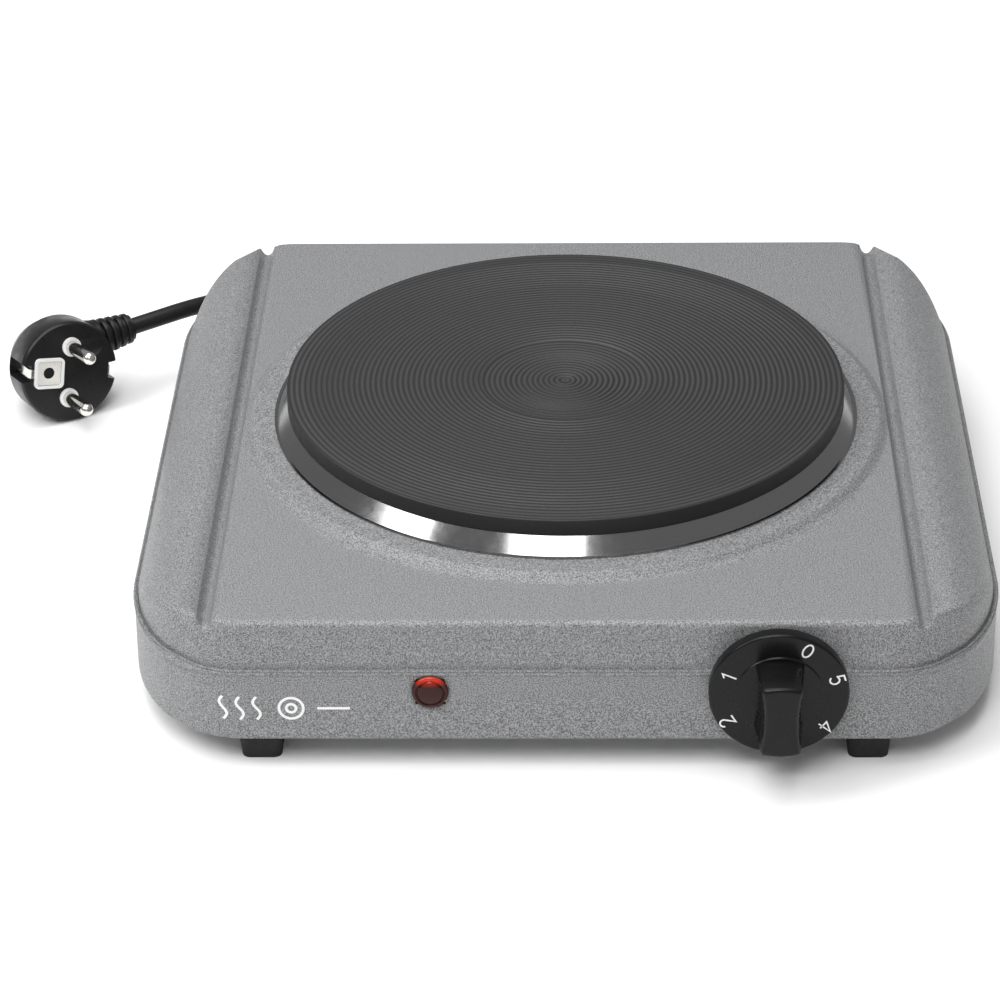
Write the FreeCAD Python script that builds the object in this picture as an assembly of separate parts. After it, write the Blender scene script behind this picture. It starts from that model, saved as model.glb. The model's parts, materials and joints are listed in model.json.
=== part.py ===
import FreeCAD, Part
import math
import os

# Single hot plate burner for a table: a pressed steel housing with a cast iron plate, a rotary
# thermostat, a red pilot lamp and a mains cord with an angled earthed plug.
# Millimetres, +Z up. The origin is on the floor under the middle of the housing, its knob and
# its cord bush. +X is to the right of a user who stands in front, and +Y points to the back.

# ---------------------------------------------------------------- driving dimensions
# housing
body_width = 273.0
body_depth = 268.0
corner_x = 38.0             # plan corner, how far it reaches along X
corner_y = 54.0             # and along Y
sheet = 1.0
foot_height = 10.0
wall_height = 24.8          # straight wall, from its bottom edge to the ledge
crown_height = 15.0         # deck above the ledge
ledge = 1.6                 # how far the crown stands in from the wall
crown_lean = 2.0            # how far the front and back crown lean inwards
crown_step = 0.8            # crown edge above the ledge at the two sides
crease_radius = 3.0
groove_x = 109.5            # the two pressed channels that run from front to back
groove_radius = 2.3
emboss_margin = 9.0         # flat of the raised annulus beyond the plate
emboss_slope = 6.2          # and its slope beyond that
emboss_height = 2.1

# plate and what hangs from it
plate_radius = 92.5
plate_rim = 5.5             # visible side of the plate
plate_seat = 5.9            # underside of that rim above the raised annulus
plate_depth = 13.5          # whole thickness
plate_overlap = 3.9         # rim beyond the opening in the deck
core_gap = 2.6              # core inside that opening
recess_radius = 27.4
recess_depth = 0.6
channel_insets = (17.5, 35.5)   # ring channels from the plate's edge
channel_width = 10.0
channel_depth = 7.0
coil_radius = 2.6
ring_margin = 4.5           # trim ring beyond the plate
ring_sheet = 0.5
stud_radius = 2.95
bridge_sheet = 1.6
bridge_width = 24.0

# control
knob_x = 65.0
knob_z = 29.6
knob_radius = 21.3
knob_gap = 1.0              # skirt in front of the wall
knob_face = 5.2             # skirt face in front of the wall
knob_reach = 21.0           # front of the grip in front of the wall
knob_wall = 1.7
hub_radius = 5.6
disc_radius = 13.4
disc_height = 0.5
grip_length = 24.0
spindle_radius = 3.0
spindle_flat = 2.2          # flat of the spindle from its axis
flat_start = 4.0            # where that flat begins in front of the wall
screw_spacing = 28.0
cam_radius = 5.0            # smallest radius of the snail cam
cam_rise = 0.365            # growth of that radius for each radian
off_turn = 31.0             # degrees back from rest to the off stop
full_turn = 283.0           # degrees on from rest to the highest mark
lever_x = -12.0             # lever pivot from the spindle
lever_z = -9.0
lever_gap = 0.4

# pilot lamp
lamp_x = -40.8
lamp_z = 27.4
lamp_flange = 5.6
lamp_barrel = 4.6
lamp_depth = 26.0
lamp_pitch = 1.6            # each lead from the middle of the lamp

# feet
foot_side = 42.7            # foot centre from the side of the housing
foot_inset = 10.8           # foot centre from the outside of the wall
foot_top = 14.2
foot_bottom = 12.4

# mains cord
cord_diameter = 6.2
bush_x = 80.0
bush_z = 22.0
bush_reach = 21.0           # bush behind the wall
hank_inner = 20.0           # fold radius of an inner turn of the tied bundle
plug_radius = 18.6
plug_depth = 24.0
pin_radius = 2.4
pin_root = 1.9              # moulded-in root of each pin
pin_length = 19.0
pin_pitch = 19.0

# wires inside
wire_radius = 1.2
core_radius = 1.1
lead_radius = 0.7

# clearances
fit = 0.05                  # a shaft in its hole
slip = 0.3                  # a sheet inside another
skin = 0.4                  # thin springs and shims

# ---------------------------------------------------------------- derived places
half_x = body_width / 2
half_y = body_depth / 2
foot_x = half_x - foot_side
opening_radius = plate_radius - plate_overlap
plate_core_radius = opening_radius - core_gap
ring_radius = plate_radius + ring_margin
emboss_inner = plate_radius + emboss_margin
emboss_outer = emboss_inner + emboss_slope
channel_radii = tuple(plate_radius - inset for inset in channel_insets)
base_z = foot_height + 0.6
base_top = base_z + sheet
ledge_z = foot_height + wall_height
deck_z = ledge_z + crown_height
annulus_z = deck_z + emboss_height
seat_z = annulus_z + plate_seat
plate_z = seat_z + plate_rim
plate_low = plate_z - plate_depth
cord_radius = cord_diameter / 2
hank_outer = hank_inner + cord_diameter
front_reach = half_y + knob_reach
back_reach = half_y + bush_reach
row_shift = (front_reach - back_reach) / 2


def vec(x, y, z):
    return FreeCAD.Vector(x, y, z)


def box(x0, x1, y0, y1, z0, z1):
    return Part.makeBox(x1 - x0, y1 - y0, z1 - z0, vec(x0, y0, z0))


def rod(radius, x, y, z0, z1):
    """Upright cylinder from z0 to z1."""
    return Part.makeCylinder(radius, z1 - z0, vec(x, y, z0))


def pipe(outer, inner, x, y, z0, z1):
    """Upright tube, washer or sleeve."""
    return rod(outer, x, y, z0, z1).cut(rod(inner, x, y, z0 - 1, z1 + 1))


def join(shapes):
    """One solid out of touching or overlapping solids."""
    whole = shapes[0].multiFuse(shapes[1:])
    return whole.removeSplitter()


def turned(points):
    """Solid of revolution about Z from a closed outline of (radius, height) points."""
    outline = [vec(r, 0, z) for r, z in points]
    face = Part.Face(Part.makePolygon(outline + outline[:1]))
    return face.revolve(vec(0, 0, 0), vec(0, 0, 1), 360)


def prism(points, place, along):
    """Extrude a closed 2D outline. place turns (u, v) into a point, along is the extrusion."""
    outline = [place(u, v) for u, v in points]
    face = Part.Face(Part.makePolygon(outline + outline[:1]))
    return face.extrude(along)


def strip_outline(points, thickness):
    """Outline of a folded sheet: its 2D centreline moved half a thickness to each side, mitred."""
    sides = ([], [])
    last = len(points) - 1
    for i, (u, v) in enumerate(points):
        before = points[max(i - 1, 0)]
        after = points[min(i + 1, last)]
        inward = unit(u - before[0], v - before[1]) if i else unit(after[0] - u, after[1] - v)
        onward = unit(after[0] - u, after[1] - v) if i < last else inward
        nu = -(inward[1] + onward[1]) / 2
        nv = (inward[0] + onward[0]) / 2
        scale = thickness / 2 / (nu * nu + nv * nv)
        sides[0].append((u + nu * scale, v + nv * scale))
        sides[1].append((u - nu * scale, v - nv * scale))
    return sides[0] + sides[1][::-1]


def unit(u, v):
    size = math.hypot(u, v)
    return (u / size, v / size)


def face_front(shape, x, y, z):
    """Lay a shape built about Z so that its +Z points to the front and its +Y points up."""
    shape.rotate(vec(0, 0, 0), vec(1, 0, 0), 90)
    shape.translate(vec(x, y, z))
    return shape


def face_back(shape, x, y, z):
    """Lay a shape built about Z so that its +Z points to the back."""
    shape.rotate(vec(0, 0, 0), vec(1, 0, 0), -90)
    shape.translate(vec(x, y, z))
    return shape


def path_edges(points, radii):
    """Straight runs joined by tangent arcs, one radius for each inner point."""
    edges = []
    start = points[0]
    for i, radius in enumerate(radii, 1):
        into = (points[i] - points[i - 1]).normalize()
        out = (points[i + 1] - points[i]).normalize()
        half_turn = into.getAngle(out) / 2
        cut = radius * math.tan(half_turn)
        first = points[i] - into * cut
        last = points[i] + out * cut
        bisector = (out - into).normalize()
        middle = points[i] + bisector * (radius / math.cos(half_turn) - radius)
        edges.append(Part.LineSegment(start, first).toShape())
        edges.append(Part.Arc(first, middle, last).toShape())
        start = last
    edges.append(Part.LineSegment(start, points[-1]).toShape())
    return edges


def cord_radii(points):
    """Arc radius at each inner point: 0.45 of the shorter run over the tangent of half the turn."""
    radii = []
    for i in range(1, len(points) - 1):
        into = points[i] - points[i - 1]
        out = points[i + 1] - points[i]
        half_turn = into.getAngle(out) / 2
        radii.append(0.45 * min(into.Length, out.Length) / math.tan(half_turn))
    return radii


def tube(points, radius, radii):
    """Round tube along straight runs and tangent arcs."""
    path = Part.Wire(path_edges(points, radii))
    tangent = points[1] - points[0]
    section = Part.Wire(Part.makeCircle(radius, points[0], tangent))
    return path.makePipeShell([section], True, False), path.Length


def wire_run(places, radius, bend):
    """Short insulated wire through hand-set places, with one bend radius."""
    points = [vec(*place) for place in places]
    return tube(points, radius, [bend] * (len(points) - 2))[0]


def save(node, shape):
    """Write one node, moved to the row's origin."""
    moved = shape.copy()
    moved.translate(vec(0, row_shift, 0))
    moved.exportStep("parts/" + node + ".step")


def save_group(node, shapes):
    save(node, Part.Compound(shapes))


# ---------------------------------------------------------------- housing and base
def plan_face(hx, hy, rx, ry, z):
    """Rectangle with a quarter ellipse at each corner."""
    edges = []
    for sx, sy in ((1, 1), (-1, 1), (-1, -1), (1, -1)):
        middle = vec(sx * (hx - rx), sy * (hy - ry), z)
        long_end = middle + vec(0, sy * ry, 0)
        short_end = middle + vec(sx * rx, 0, 0)
        if rx > ry:
            long_end, short_end = short_end, long_end
        edges.append(Part.Ellipse(long_end, short_end, middle).toShape(0, math.pi / 2))
    for sign in (1, -1):
        low, high = vec(-(hx - rx), sign * hy, z), vec(hx - rx, sign * hy, z)
        edges.append(Part.LineSegment(low, high).toShape())
        low, high = vec(sign * hx, -(hy - ry), z), vec(sign * hx, hy - ry, z)
        edges.append(Part.LineSegment(low, high).toShape())
    return Part.Face(Part.Wire(Part.__sortEdges__(edges)))


def plan_block(inset, z0, z1):
    """Block with the housing's plan, moved inwards by inset."""
    face = plan_face(half_x - inset, half_y - inset, corner_x - inset, corner_y - inset, z0)
    return face.extrude(vec(0, 0, z1 - z0))


def crown_side_prism(inset):
    """Front view of the crown: flat deck, then a round shoulder down to the ledge at each side."""
    start = groove_x + groove_radius
    width = half_x - ledge - start
    drop = crown_height - crown_step
    radius = (width ** 2 + drop ** 2) / (2 * drop)
    end = math.asin(width / radius)
    reach = half_y + 5

    def on_arc(angle, side):
        r = radius - inset
        return vec(side * (start + r * math.sin(angle)), -reach, deck_z - radius + r * math.cos(angle))

    low = ledge_z - 6
    edges = []
    for side in (1, -1):
        arc = Part.Arc(on_arc(0, side), on_arc(end / 2, side), on_arc(end, side))
        foot = vec(on_arc(end, side).x, -reach, low)
        edges.append(arc.toShape())
        edges.append(Part.LineSegment(on_arc(end, side), foot).toShape())
    edges.append(Part.LineSegment(on_arc(0, -1), on_arc(0, 1)).toShape())
    left, right = vec(on_arc(end, -1).x, -reach, low), vec(on_arc(end, 1).x, -reach, low)
    edges.append(Part.LineSegment(left, right).toShape())
    face = Part.Face(Part.Wire(Part.__sortEdges__(edges)))
    return face.extrude(vec(0, 2 * reach, 0))


def crown_end_prism(inset):
    """Side view of the crown: front and back lean in a little and turn over a round crease."""
    bottom = half_y - ledge - inset
    slope = crown_lean / crown_height
    low = ledge_z - 6
    top = deck_z - inset
    spread = (ledge_z - low) * slope
    x = -half_x - 5
    corners = [
        vec(x, -bottom - spread, low),
        vec(x, -bottom + crown_lean, top),
        vec(x, bottom - crown_lean, top),
        vec(x, bottom + spread, low),
    ]
    edges = path_edges(corners, [crease_radius - inset] * 2)
    edges.append(Part.LineSegment(corners[-1], corners[0]).toShape())
    return Part.Face(Part.Wire(edges)).extrude(vec(-2 * x, 0, 0))


def housing_form(inset, z0):
    """Solid inside a surface that lies inset below the outside of the housing."""
    wall = plan_block(inset, z0, ledge_z - inset)
    crown = plan_block(ledge + inset, ledge_z - 5, deck_z + 5)
    crown = crown.common(crown_side_prism(inset)).common(crown_end_prism(inset))
    low = deck_z - 3
    dome = turned([
        (0, low),
        (emboss_outer, low),
        (emboss_outer, deck_z - inset),
        (emboss_inner, annulus_z - inset),
        (0, annulus_z - inset),
    ])
    form = wall.fuse(crown).fuse(dome)
    for side in (1, -1):
        start = vec(side * groove_x, -half_y - 5, deck_z)
        channel = Part.makeCylinder(groove_radius + inset, body_depth + 10, start, vec(0, 1, 0))
        form = form.cut(channel)
    return form


def front_hole(radius, x, z):
    return Part.makeCylinder(radius, 12, vec(x, -half_y - 4, z), vec(0, 1, 0))


def make_housing():
    shell = housing_form(0, foot_height).cut(housing_form(sheet, foot_height - 5))
    shell = shell.cut(rod(opening_radius, 0, 0, ledge_z, deck_z + 20))
    shell = shell.cut(front_hole(bush_outer + 0.6, knob_x, knob_z))
    for side in (1, -1):
        shell = shell.cut(front_hole(2.2, knob_x + side * screw_spacing / 2, knob_z))
    shell = shell.cut(front_hole(lamp_barrel + 0.2, lamp_x, lamp_z))
    back = Part.makeCylinder(bush_neck + 0.1, 12, vec(bush_x, half_y - 6, bush_z), vec(0, 1, 0))
    return shell.cut(back)


def foot_places():
    y = half_y - foot_inset
    return [(sx * foot_x, sy * y) for sx in (-1, 1) for sy in (-1, 1)]


def make_base():
    """Bottom pan with a raised lip, rows of cooling slots and the foot screw holes."""
    lip = 3.0
    inset = sheet + slip
    pan = plan_block(inset, base_z, base_top + lip)
    pan = pan.cut(plan_block(inset + sheet, base_top, base_top + lip + 1))
    slot_length, slot_width, slot_pitch = 34.0, 4.0, 11.0
    for column in (-1, 0, 1):
        for row in range(-3, 4):
            x, y = column * 52.0, row * slot_pitch
            pan = pan.cut(box(x - slot_length / 2, x + slot_length / 2, y - slot_width / 2,
                              y + slot_width / 2, base_z - 1, base_top + 1))
    for x, y in foot_places():
        pan = pan.cut(rod(2.4, x, y, base_z - 1, base_top + 1))
    return pan


def rounded_square(side, corner, x, y, z):
    h = side / 2
    corners = [vec(x - h, y, z), vec(x - h, y - h, z), vec(x + h, y - h, z),
               vec(x + h, y + h, z), vec(x - h, y + h, z), vec(x - h, y, z)]
    return Part.Wire(path_edges(corners, [corner] * 4))


def make_foot(x, y):
    wires = [rounded_square(foot_bottom, 2.6, x, y, 0), rounded_square(foot_top, 3.0, x, y, base_z)]
    foot = Part.makeLoft(wires, True, True)
    return foot.cut(rod(4.2, x, y, -1, 6)).cut(rod(2.1, x, y, 0, base_z + 1))


def make_foot_screw(x, y):
    return join([rod(3.9, x, y, 3.4, 6), rod(2.0, x, y, 5, base_top + 6)])


def make_bracket(x, y):
    """Cranked tab that is welded to the wall and takes a foot screw on top of the base."""
    side = 1 if y > 0 else -1
    wall = half_y - sheet
    thick = 1.5
    tab = base_top + thick / 2
    riser = wall - 3.4
    line = [(abs(y) - 7, tab), (riser, tab), (riser, 19), (wall - thick / 2, 19), (wall - thick / 2, 30)]
    outline = strip_outline(line, thick)
    half = half_x - corner_x - foot_x
    bracket = prism(outline, lambda u, v: vec(x - half, side * u, v), vec(2 * half, 0, 0))
    return bracket.cut(rod(2.0 + fit, x, y, base_top - 1, base_top + 3))


# ---------------------------------------------------------------- plate
def make_trim_ring():
    """Polished spill ring: a flat flange on the deck, a cone and a lip under the plate's rim."""
    low = annulus_z + ring_sheet / 2
    high = seat_z - ring_sheet / 2
    line = [(ring_radius, low), (ring_radius - 1.0, low), (ring_radius - 5.4, high),
            (opening_radius - 0.6, high)]
    return turned(strip_outline(line, ring_sheet))


def make_plate():
    """Cast iron plate: rim, core with two ring channels below, boss with a blind stud hole."""
    edge = 0.9
    plate = turned([
        (0, plate_low),
        (plate_core_radius, plate_low),
        (plate_core_radius, seat_z),
        (plate_radius - 0.4, seat_z),
        (plate_radius, seat_z + 0.4),
        (plate_radius, plate_z - edge),
        (plate_radius - edge, plate_z),
        (recess_radius, plate_z),
        (recess_radius - 0.4, plate_z - recess_depth),
        (0, plate_z - recess_depth),
    ])
    for radius in channel_radii:
        r0, r1 = radius - channel_width / 2, radius + channel_width / 2
        plate = plate.cut(pipe(r1, r0, 0, 0, plate_low - 1, plate_low + channel_depth))
    return plate.cut(rod(stud_radius + fit, 0, 0, plate_low - 1, plate_low + 9))


def make_coil(radius):
    return Part.makeTorus(radius, coil_radius, vec(0, 0, plate_low + channel_depth / 2))


def make_filling(radius):
    r0, r1 = radius - channel_width / 2, radius + channel_width / 2
    ring = pipe(r1, r0, 0, 0, plate_low, plate_low + channel_depth)
    return ring.cut(make_coil(radius))


cover_drop = 5.6
terminal_y = -55.0


def terminal_window(grow):
    """Space for the ceramic terminal piece below the plate."""
    return (-16 - grow, 16 + grow, terminal_y - 7 - grow, terminal_y + 7 + grow)


def make_cover():
    """Dished sheet under the plate that keeps the filling in."""
    thick = 0.6
    top = plate_low - thick / 2
    line = [(plate_core_radius - 2, top), (plate_core_radius - 6, top),
            (plate_core_radius - 10, top - cover_drop), (stud_radius + 2, top - cover_drop)]
    cover = turned(strip_outline(line, thick))
    x0, x1, y0, y1 = terminal_window(1.0)
    return cover.cut(box(x0, x1, y0, y1, plate_low - 12, plate_low + 1))


bridge_top = plate_low - cover_drop - 1.6
bridge_low = bridge_top - bridge_sheet


def make_bridge():
    """Steel strap whose ends bear on the underside of the deck round the opening."""
    thick = bridge_sheet
    ear = annulus_z - sheet - thick / 2
    mid = bridge_top - thick / 2
    leg = opening_radius - 1.0
    line = [(-leg - 9, ear), (-leg, ear), (-leg, mid), (leg, mid), (leg, ear), (leg + 9, ear)]
    outline = strip_outline(line, thick)
    strap = prism(outline, lambda u, v: vec(u, -bridge_width / 2, v), vec(0, bridge_width, 0))
    return strap.cut(rod(stud_radius + 0.3, 0, 0, bridge_low - 1, bridge_top + 1))


def make_spacer():
    """Sleeve on the stud between the cover and the strap."""
    high = plate_low - cover_drop - 0.6
    return pipe(7.0, stud_radius + 0.3, 0, 0, bridge_top, high)


reflector_sheet = 0.6
washer_sheet = 1.2
nut_height = 5.0
nut_low = bridge_low - reflector_sheet - washer_sheet - nut_height


def make_reflector():
    top = bridge_low
    disc = pipe(70.0, stud_radius + 0.3, 0, 0, top - reflector_sheet, top)
    rim = pipe(70.0, 69.4, 0, 0, top - reflector_sheet - 4, top)
    x0, x1, y0, y1 = terminal_window(2.0)
    return join([disc, rim]).cut(box(x0, x1, y0 - 10, y1, top - 8, top + 1))


def hexagon(across, inner, x, y, z0, z1):
    radius = across / 2 / math.cos(math.pi / 6)
    turns = [math.radians(60 * i) for i in range(6)]
    points = [(x + radius * math.cos(a), y + radius * math.sin(a)) for a in turns]
    nut = prism(points, lambda u, v: vec(u, v, z0), vec(0, 0, z1 - z0))
    return nut.cut(rod(inner, x, y, z0 - 1, z1 + 1))


def make_stud():
    return rod(stud_radius, 0, 0, nut_low - 2, plate_low + 8.8)


def make_plate_terminal():
    x0, x1, y0, y1 = terminal_window(0)
    block = box(x0, x1, y0, y1, plate_low - 13, plate_low)
    for x in blade_places:
        block = block.cut(box(x - 3.2, x + 3.2, terminal_y - 0.5, terminal_y + 0.5,
                              plate_low - 14, plate_low - 6))
    return block


blade_places = (-8.0, 8.0)
blade_low = plate_low - 21


def make_blades():
    """Flat tabs that stick out below the ceramic piece."""
    return [box(x - 3.15, x + 3.15, terminal_y - 0.4, terminal_y + 0.4, blade_low, plate_low - 6)
            for x in blade_places]


# ---------------------------------------------------------------- thermostat
# Built with +Z to the front from the wall's outer face, +X to the right and +Y up.
bush_outer = 5.0
frame_front = -sheet
frame_sheet = 2.0
frame_floor = -14.0
frame_top = ledge_z - sheet - knob_z - 0.4
frame_back = -36.0
cam_front = -10.0
cam_back = -14.0


def on_wall(shape, x, z):
    return face_front(shape, x, -half_y, z)


def make_frame():
    plate = box(-17.5, 17.5, frame_floor, frame_top, frame_front - frame_sheet, frame_front)
    floor = box(-13, 13, frame_floor, frame_floor + frame_sheet, frame_back, frame_front)
    ear = box(lever_x - 3, lever_x + 3, frame_floor, lever_z + 3.5, cam_back - 3, cam_back - 1.5)
    widening = box(lever_x - 3, -12, frame_floor, frame_floor + frame_sheet, cam_back - 3, frame_front)
    frame = join([plate, floor, ear, widening])
    frame = frame.cut(rod(bush_outer + fit, 0, 0, -5, 1))
    for side in (1, -1):
        frame = frame.cut(rod(1.95 + fit, side * screw_spacing / 2, 0, -5, 1))
    return frame.cut(rod(1.0 + fit, lever_x, lever_z, cam_back - 4, cam_back))


def make_bush():
    behind = frame_front - frame_sheet
    sleeve = pipe(bush_outer, spindle_radius + fit, 0, 0, -8, 2.2)
    flange = pipe(bush_outer + 1.0, spindle_radius + fit, 0, 0, behind - 1.5, behind)
    return join([sleeve, flange])


def cam_outline():
    """Snail cam: its radius falls evenly with the angle from the top, clockwise from the front."""
    first = math.radians(270 - full_turn - 6)
    last = math.radians(270 + off_turn + 6)
    steps = 96
    points = []
    for i in range(steps + 1):
        angle = first + (last - first) * i / steps
        radius = cam_radius + cam_rise * (math.radians(270 + off_turn) - angle)
        points.append((radius * math.sin(angle), radius * math.cos(angle)))
    return points


def make_spindle():
    shaft = rod(spindle_radius, 0, 0, cam_back - 3, 12.0)
    shaft = shaft.cut(box(-5, 5, spindle_flat, 6, flat_start, 13))
    cam = prism(cam_outline(), lambda u, v: vec(u, v, cam_back), vec(0, 0, cam_front - cam_back))
    return join([shaft, cam])


def make_lever():
    """Follower: an eye on the pivot pin, an arm and a round nose beside the cam."""
    nose = 1.5
    rest_radius = cam_radius + cam_rise * math.radians(off_turn)
    nose_x = -rest_radius - lever_gap - nose
    z0, z1 = cam_back + 0.5, cam_front - 0.5
    du, dv = unit(nose_x - lever_x, -lever_z)
    half = 1.4
    arm = prism(
        [(lever_x - dv * half, lever_z + du * half), (lever_x + dv * half, lever_z - du * half),
         (nose_x + dv * half, -du * half), (nose_x - dv * half, du * half)],
        lambda u, v: vec(u, v, z0), vec(0, 0, z1 - z0))
    lever = join([rod(2.6, lever_x, lever_z, z0, z1), rod(nose, nose_x, 0, z0, z1), arm])
    return lever.cut(rod(1.0 + fit, lever_x, lever_z, z0 - 1, z1 + 1))


def make_lever_pin():
    return rod(1.0, lever_x, lever_z, cam_back - 3, cam_front)


stack_layers = (("washer", 2.6), ("bimetal", 0.8), ("washer", 4.0), ("spring", skin),
                ("washer", 3.0), ("spring", skin), ("washer", 2.0))
stack_z0, stack_z1 = -34.0, -26.0
leaf_tail = 8.0             # how far the contact leaves reach behind the stack


def layer_levels(kind):
    """Lower side of each layer of one kind, from the spindle's height."""
    levels = []
    level = frame_floor + frame_sheet
    for name, thick in stack_layers:
        if name == kind:
            levels.append(level)
        level += thick
    return levels


def make_stack():
    """Clamped stack on the frame's floor: ceramic washers with the bimetal and two contact leaves."""
    pieces = {"washer": [], "bimetal": [], "spring": []}
    y = frame_floor + frame_sheet
    hole = (1.0, (stack_z0 + stack_z1) / 2)
    for kind, thick in stack_layers:
        if kind == "washer":
            piece = box(-4, 6, y, y + thick, stack_z0, stack_z1)
        elif kind == "bimetal":
            piece = box(-2.5, 4.5, y, y + thick, stack_z0, -17.5)
        else:
            piece = box(-1, 3, y, y + thick, stack_z0 - leaf_tail, -17.5)
        bore = rod(1.5 + fit, hole[0], -hole[1], y - 1, y + thick + 1)
        bore.rotate(vec(0, 0, 0), vec(1, 0, 0), -90)
        pieces[kind].append(piece.cut(bore))
        y += thick
    return pieces, y


def make_stack_screw(top):
    z = (stack_z0 + stack_z1) / 2
    screw = join([rod(1.5, 1.0, -z, frame_floor + frame_sheet, top), rod(2.8, 1.0, -z, top, top + 1.6)])
    screw.rotate(vec(0, 0, 0), vec(1, 0, 0), -90)
    return screw


def make_contacts(pieces):
    """Silver points on the two leaves, facing each other with a gap."""
    low, high = [leaf.BoundBox for leaf in pieces["spring"]]
    gap = (high.YMin - low.YMax - 0.8) / 2
    points = []
    for y0, y1 in ((low.YMax, low.YMax + gap), (high.YMin - gap, high.YMin)):
        point = rod(1.5, 1.0, 20.0, y0, y1)
        point.rotate(vec(0, 0, 0), vec(1, 0, 0), -90)
        points.append(point)
    return points


def make_thermostat_screw(side):
    x = side * screw_spacing / 2
    return join([rod(3.4, x, 0, 0, 2.0), rod(1.95, x, 0, -6, 0.5)])


# ---------------------------------------------------------------- knob
def grip_wire(length, ends, waist, z):
    """Waisted bar seen from the front: two hollow sides and two slightly round ends."""
    h, e, w = length / 2, ends / 2, waist / 2
    bulge = 0.9
    arcs = [
        Part.Arc(vec(e, -h + bulge, z), vec(w, 0, z), vec(e, h - bulge, z)),
        Part.Arc(vec(e, h - bulge, z), vec(0, h, z), vec(-e, h - bulge, z)),
        Part.Arc(vec(-e, h - bulge, z), vec(-w, 0, z), vec(-e, -h + bulge, z)),
        Part.Arc(vec(-e, -h + bulge, z), vec(0, -h, z), vec(e, -h + bulge, z)),
    ]
    return Part.Wire([arc.toShape() for arc in arcs])


def make_knob():
    skirt = turned([
        (0, knob_face - knob_wall),
        (knob_radius - knob_wall, knob_face - knob_wall),
        (knob_radius - knob_wall, knob_gap),
        (knob_radius, knob_gap),
        (knob_radius, knob_face - 0.8),
        (knob_radius - 0.8, knob_face),
        (disc_radius + 0.3, knob_face),
        (disc_radius, knob_face + disc_height),
        (0, knob_face + disc_height),
    ])
    root = knob_face + disc_height - 0.2
    grip = Part.makeLoft([grip_wire(grip_length + 0.6, 15.4, 12.4, root),
                          grip_wire(grip_length, 12.4, 10.4, knob_reach)], True, True)
    hub = rod(hub_radius, 0, 0, 2.6, knob_face)
    bore = rod(spindle_radius + fit, 0, 0, 0, 12.4)
    flat = box(-6, 6, spindle_flat + fit, 6, flat_start + fit, 14)
    return join([skirt, grip, hub]).cut(bore.cut(flat))


def make_knob_clip():
    """Small round spring in a groove round the hub."""
    return pipe(hub_radius + 0.8, hub_radius, 0, 0, 2.8, knob_face - knob_wall - 0.1)


# ---------------------------------------------------------------- pilot lamp
def make_lens():
    return turned([
        (lamp_barrel - 0.8, -9), (lamp_barrel, -9), (lamp_barrel, 0), (lamp_flange, 0),
        (lamp_flange, 0.9), (lamp_flange - 0.5, 1.6), (lamp_flange - 1.2, 1.6),
        (lamp_flange - 1.6, 1.1), (2.2, 1.5), (0, 1.6), (0, 0.6), (lamp_barrel - 0.8, 0.2),
    ])


def make_lamp_body():
    body = turned([
        (lamp_barrel - 0.8, -9), (lamp_barrel, -9), (lamp_barrel, -lamp_depth),
        (0, -lamp_depth), (0, -lamp_depth + 1.6), (lamp_barrel - 0.8, -lamp_depth + 1.6),
    ])
    for side in (1, -1):
        body = body.cut(rod(lead_radius + fit, side * lamp_pitch, 0, -lamp_depth - 1, -lamp_depth + 3))
    return body


def make_bulb():
    ball = Part.makeSphere(2.3, vec(0, 0, -4))
    return join([rod(2.3, 0, 0, -14, -4), ball])


def make_resistor():
    return join([rod(1.1, lamp_pitch, 0, -22.5, -16), rod(0.3, lamp_pitch, 0, -16, -14)])


def make_lamp_clip():
    ring = pipe(lamp_barrel + 1.6, lamp_barrel + fit, 0, 0, -sheet - skin, -sheet)
    return ring.cut(box(-1, 1, 0, 9, -3, 1))


# ---------------------------------------------------------------- mains inlet inside
bush_neck = 5.8


def make_cord_bush():
    """Rubber bush: inner flange, neck in the wall, outer flange and a long ribbed taper."""
    bore = cord_radius + fit
    bush = turned([
        (bore, -sheet - 3), (7.2, -sheet - 3), (7.2, -sheet), (bush_neck, -sheet), (bush_neck, 0),
        (7.6, 0), (7.6, 2.6), (6.2, 3.0), (4.6, bush_reach), (bore, bush_reach),
    ])
    for i in range(5):
        z = 5.0 + 3.0 * i
        bush = bush.cut(pipe(9, 5.0 - 0.12 * i, 0, 0, z, z + 1.3))
    return bush


inner_end_y = half_y - 36.0


def make_inner_cord():
    length = back_reach - inner_end_y
    return Part.makeCylinder(cord_radius, length, vec(bush_x, inner_end_y, bush_z), vec(0, 1, 0))


clamp_y0, clamp_y1 = half_y - 31.0, half_y - 22.0


def cord_hole(grow):
    return Part.makeCylinder(cord_radius + grow, 60, vec(bush_x, half_y - 50, bush_z), vec(0, 1, 0))


def make_cradle():
    block = box(bush_x - 12, bush_x + 12, clamp_y0, clamp_y1, base_top, bush_z - 0.4)
    for side in (1, -1):
        hole_y = (clamp_y0 + clamp_y1) / 2
        block = block.cut(rod(1.4 + fit, bush_x + side * 8.5, hole_y, base_top + 2, bush_z))
    return block.cut(cord_hole(fit))


def make_clamp():
    bar = box(bush_x - 12, bush_x + 12, clamp_y0, clamp_y1, bush_z + 0.4, bush_z + 6.0)
    for side in (1, -1):
        y = (clamp_y0 + clamp_y1) / 2
        bar = bar.cut(rod(1.7, bush_x + side * 8.5, y, bush_z - 1, bush_z + 9))
    return bar.cut(cord_hole(fit))


def make_clamp_screw(side):
    x, y = bush_x + side * 8.5, (clamp_y0 + clamp_y1) / 2
    return join([rod(1.4, x, y, base_top + 3, bush_z + 6.2), rod(2.7, x, y, bush_z + 6.0, bush_z + 8.0)])


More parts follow.
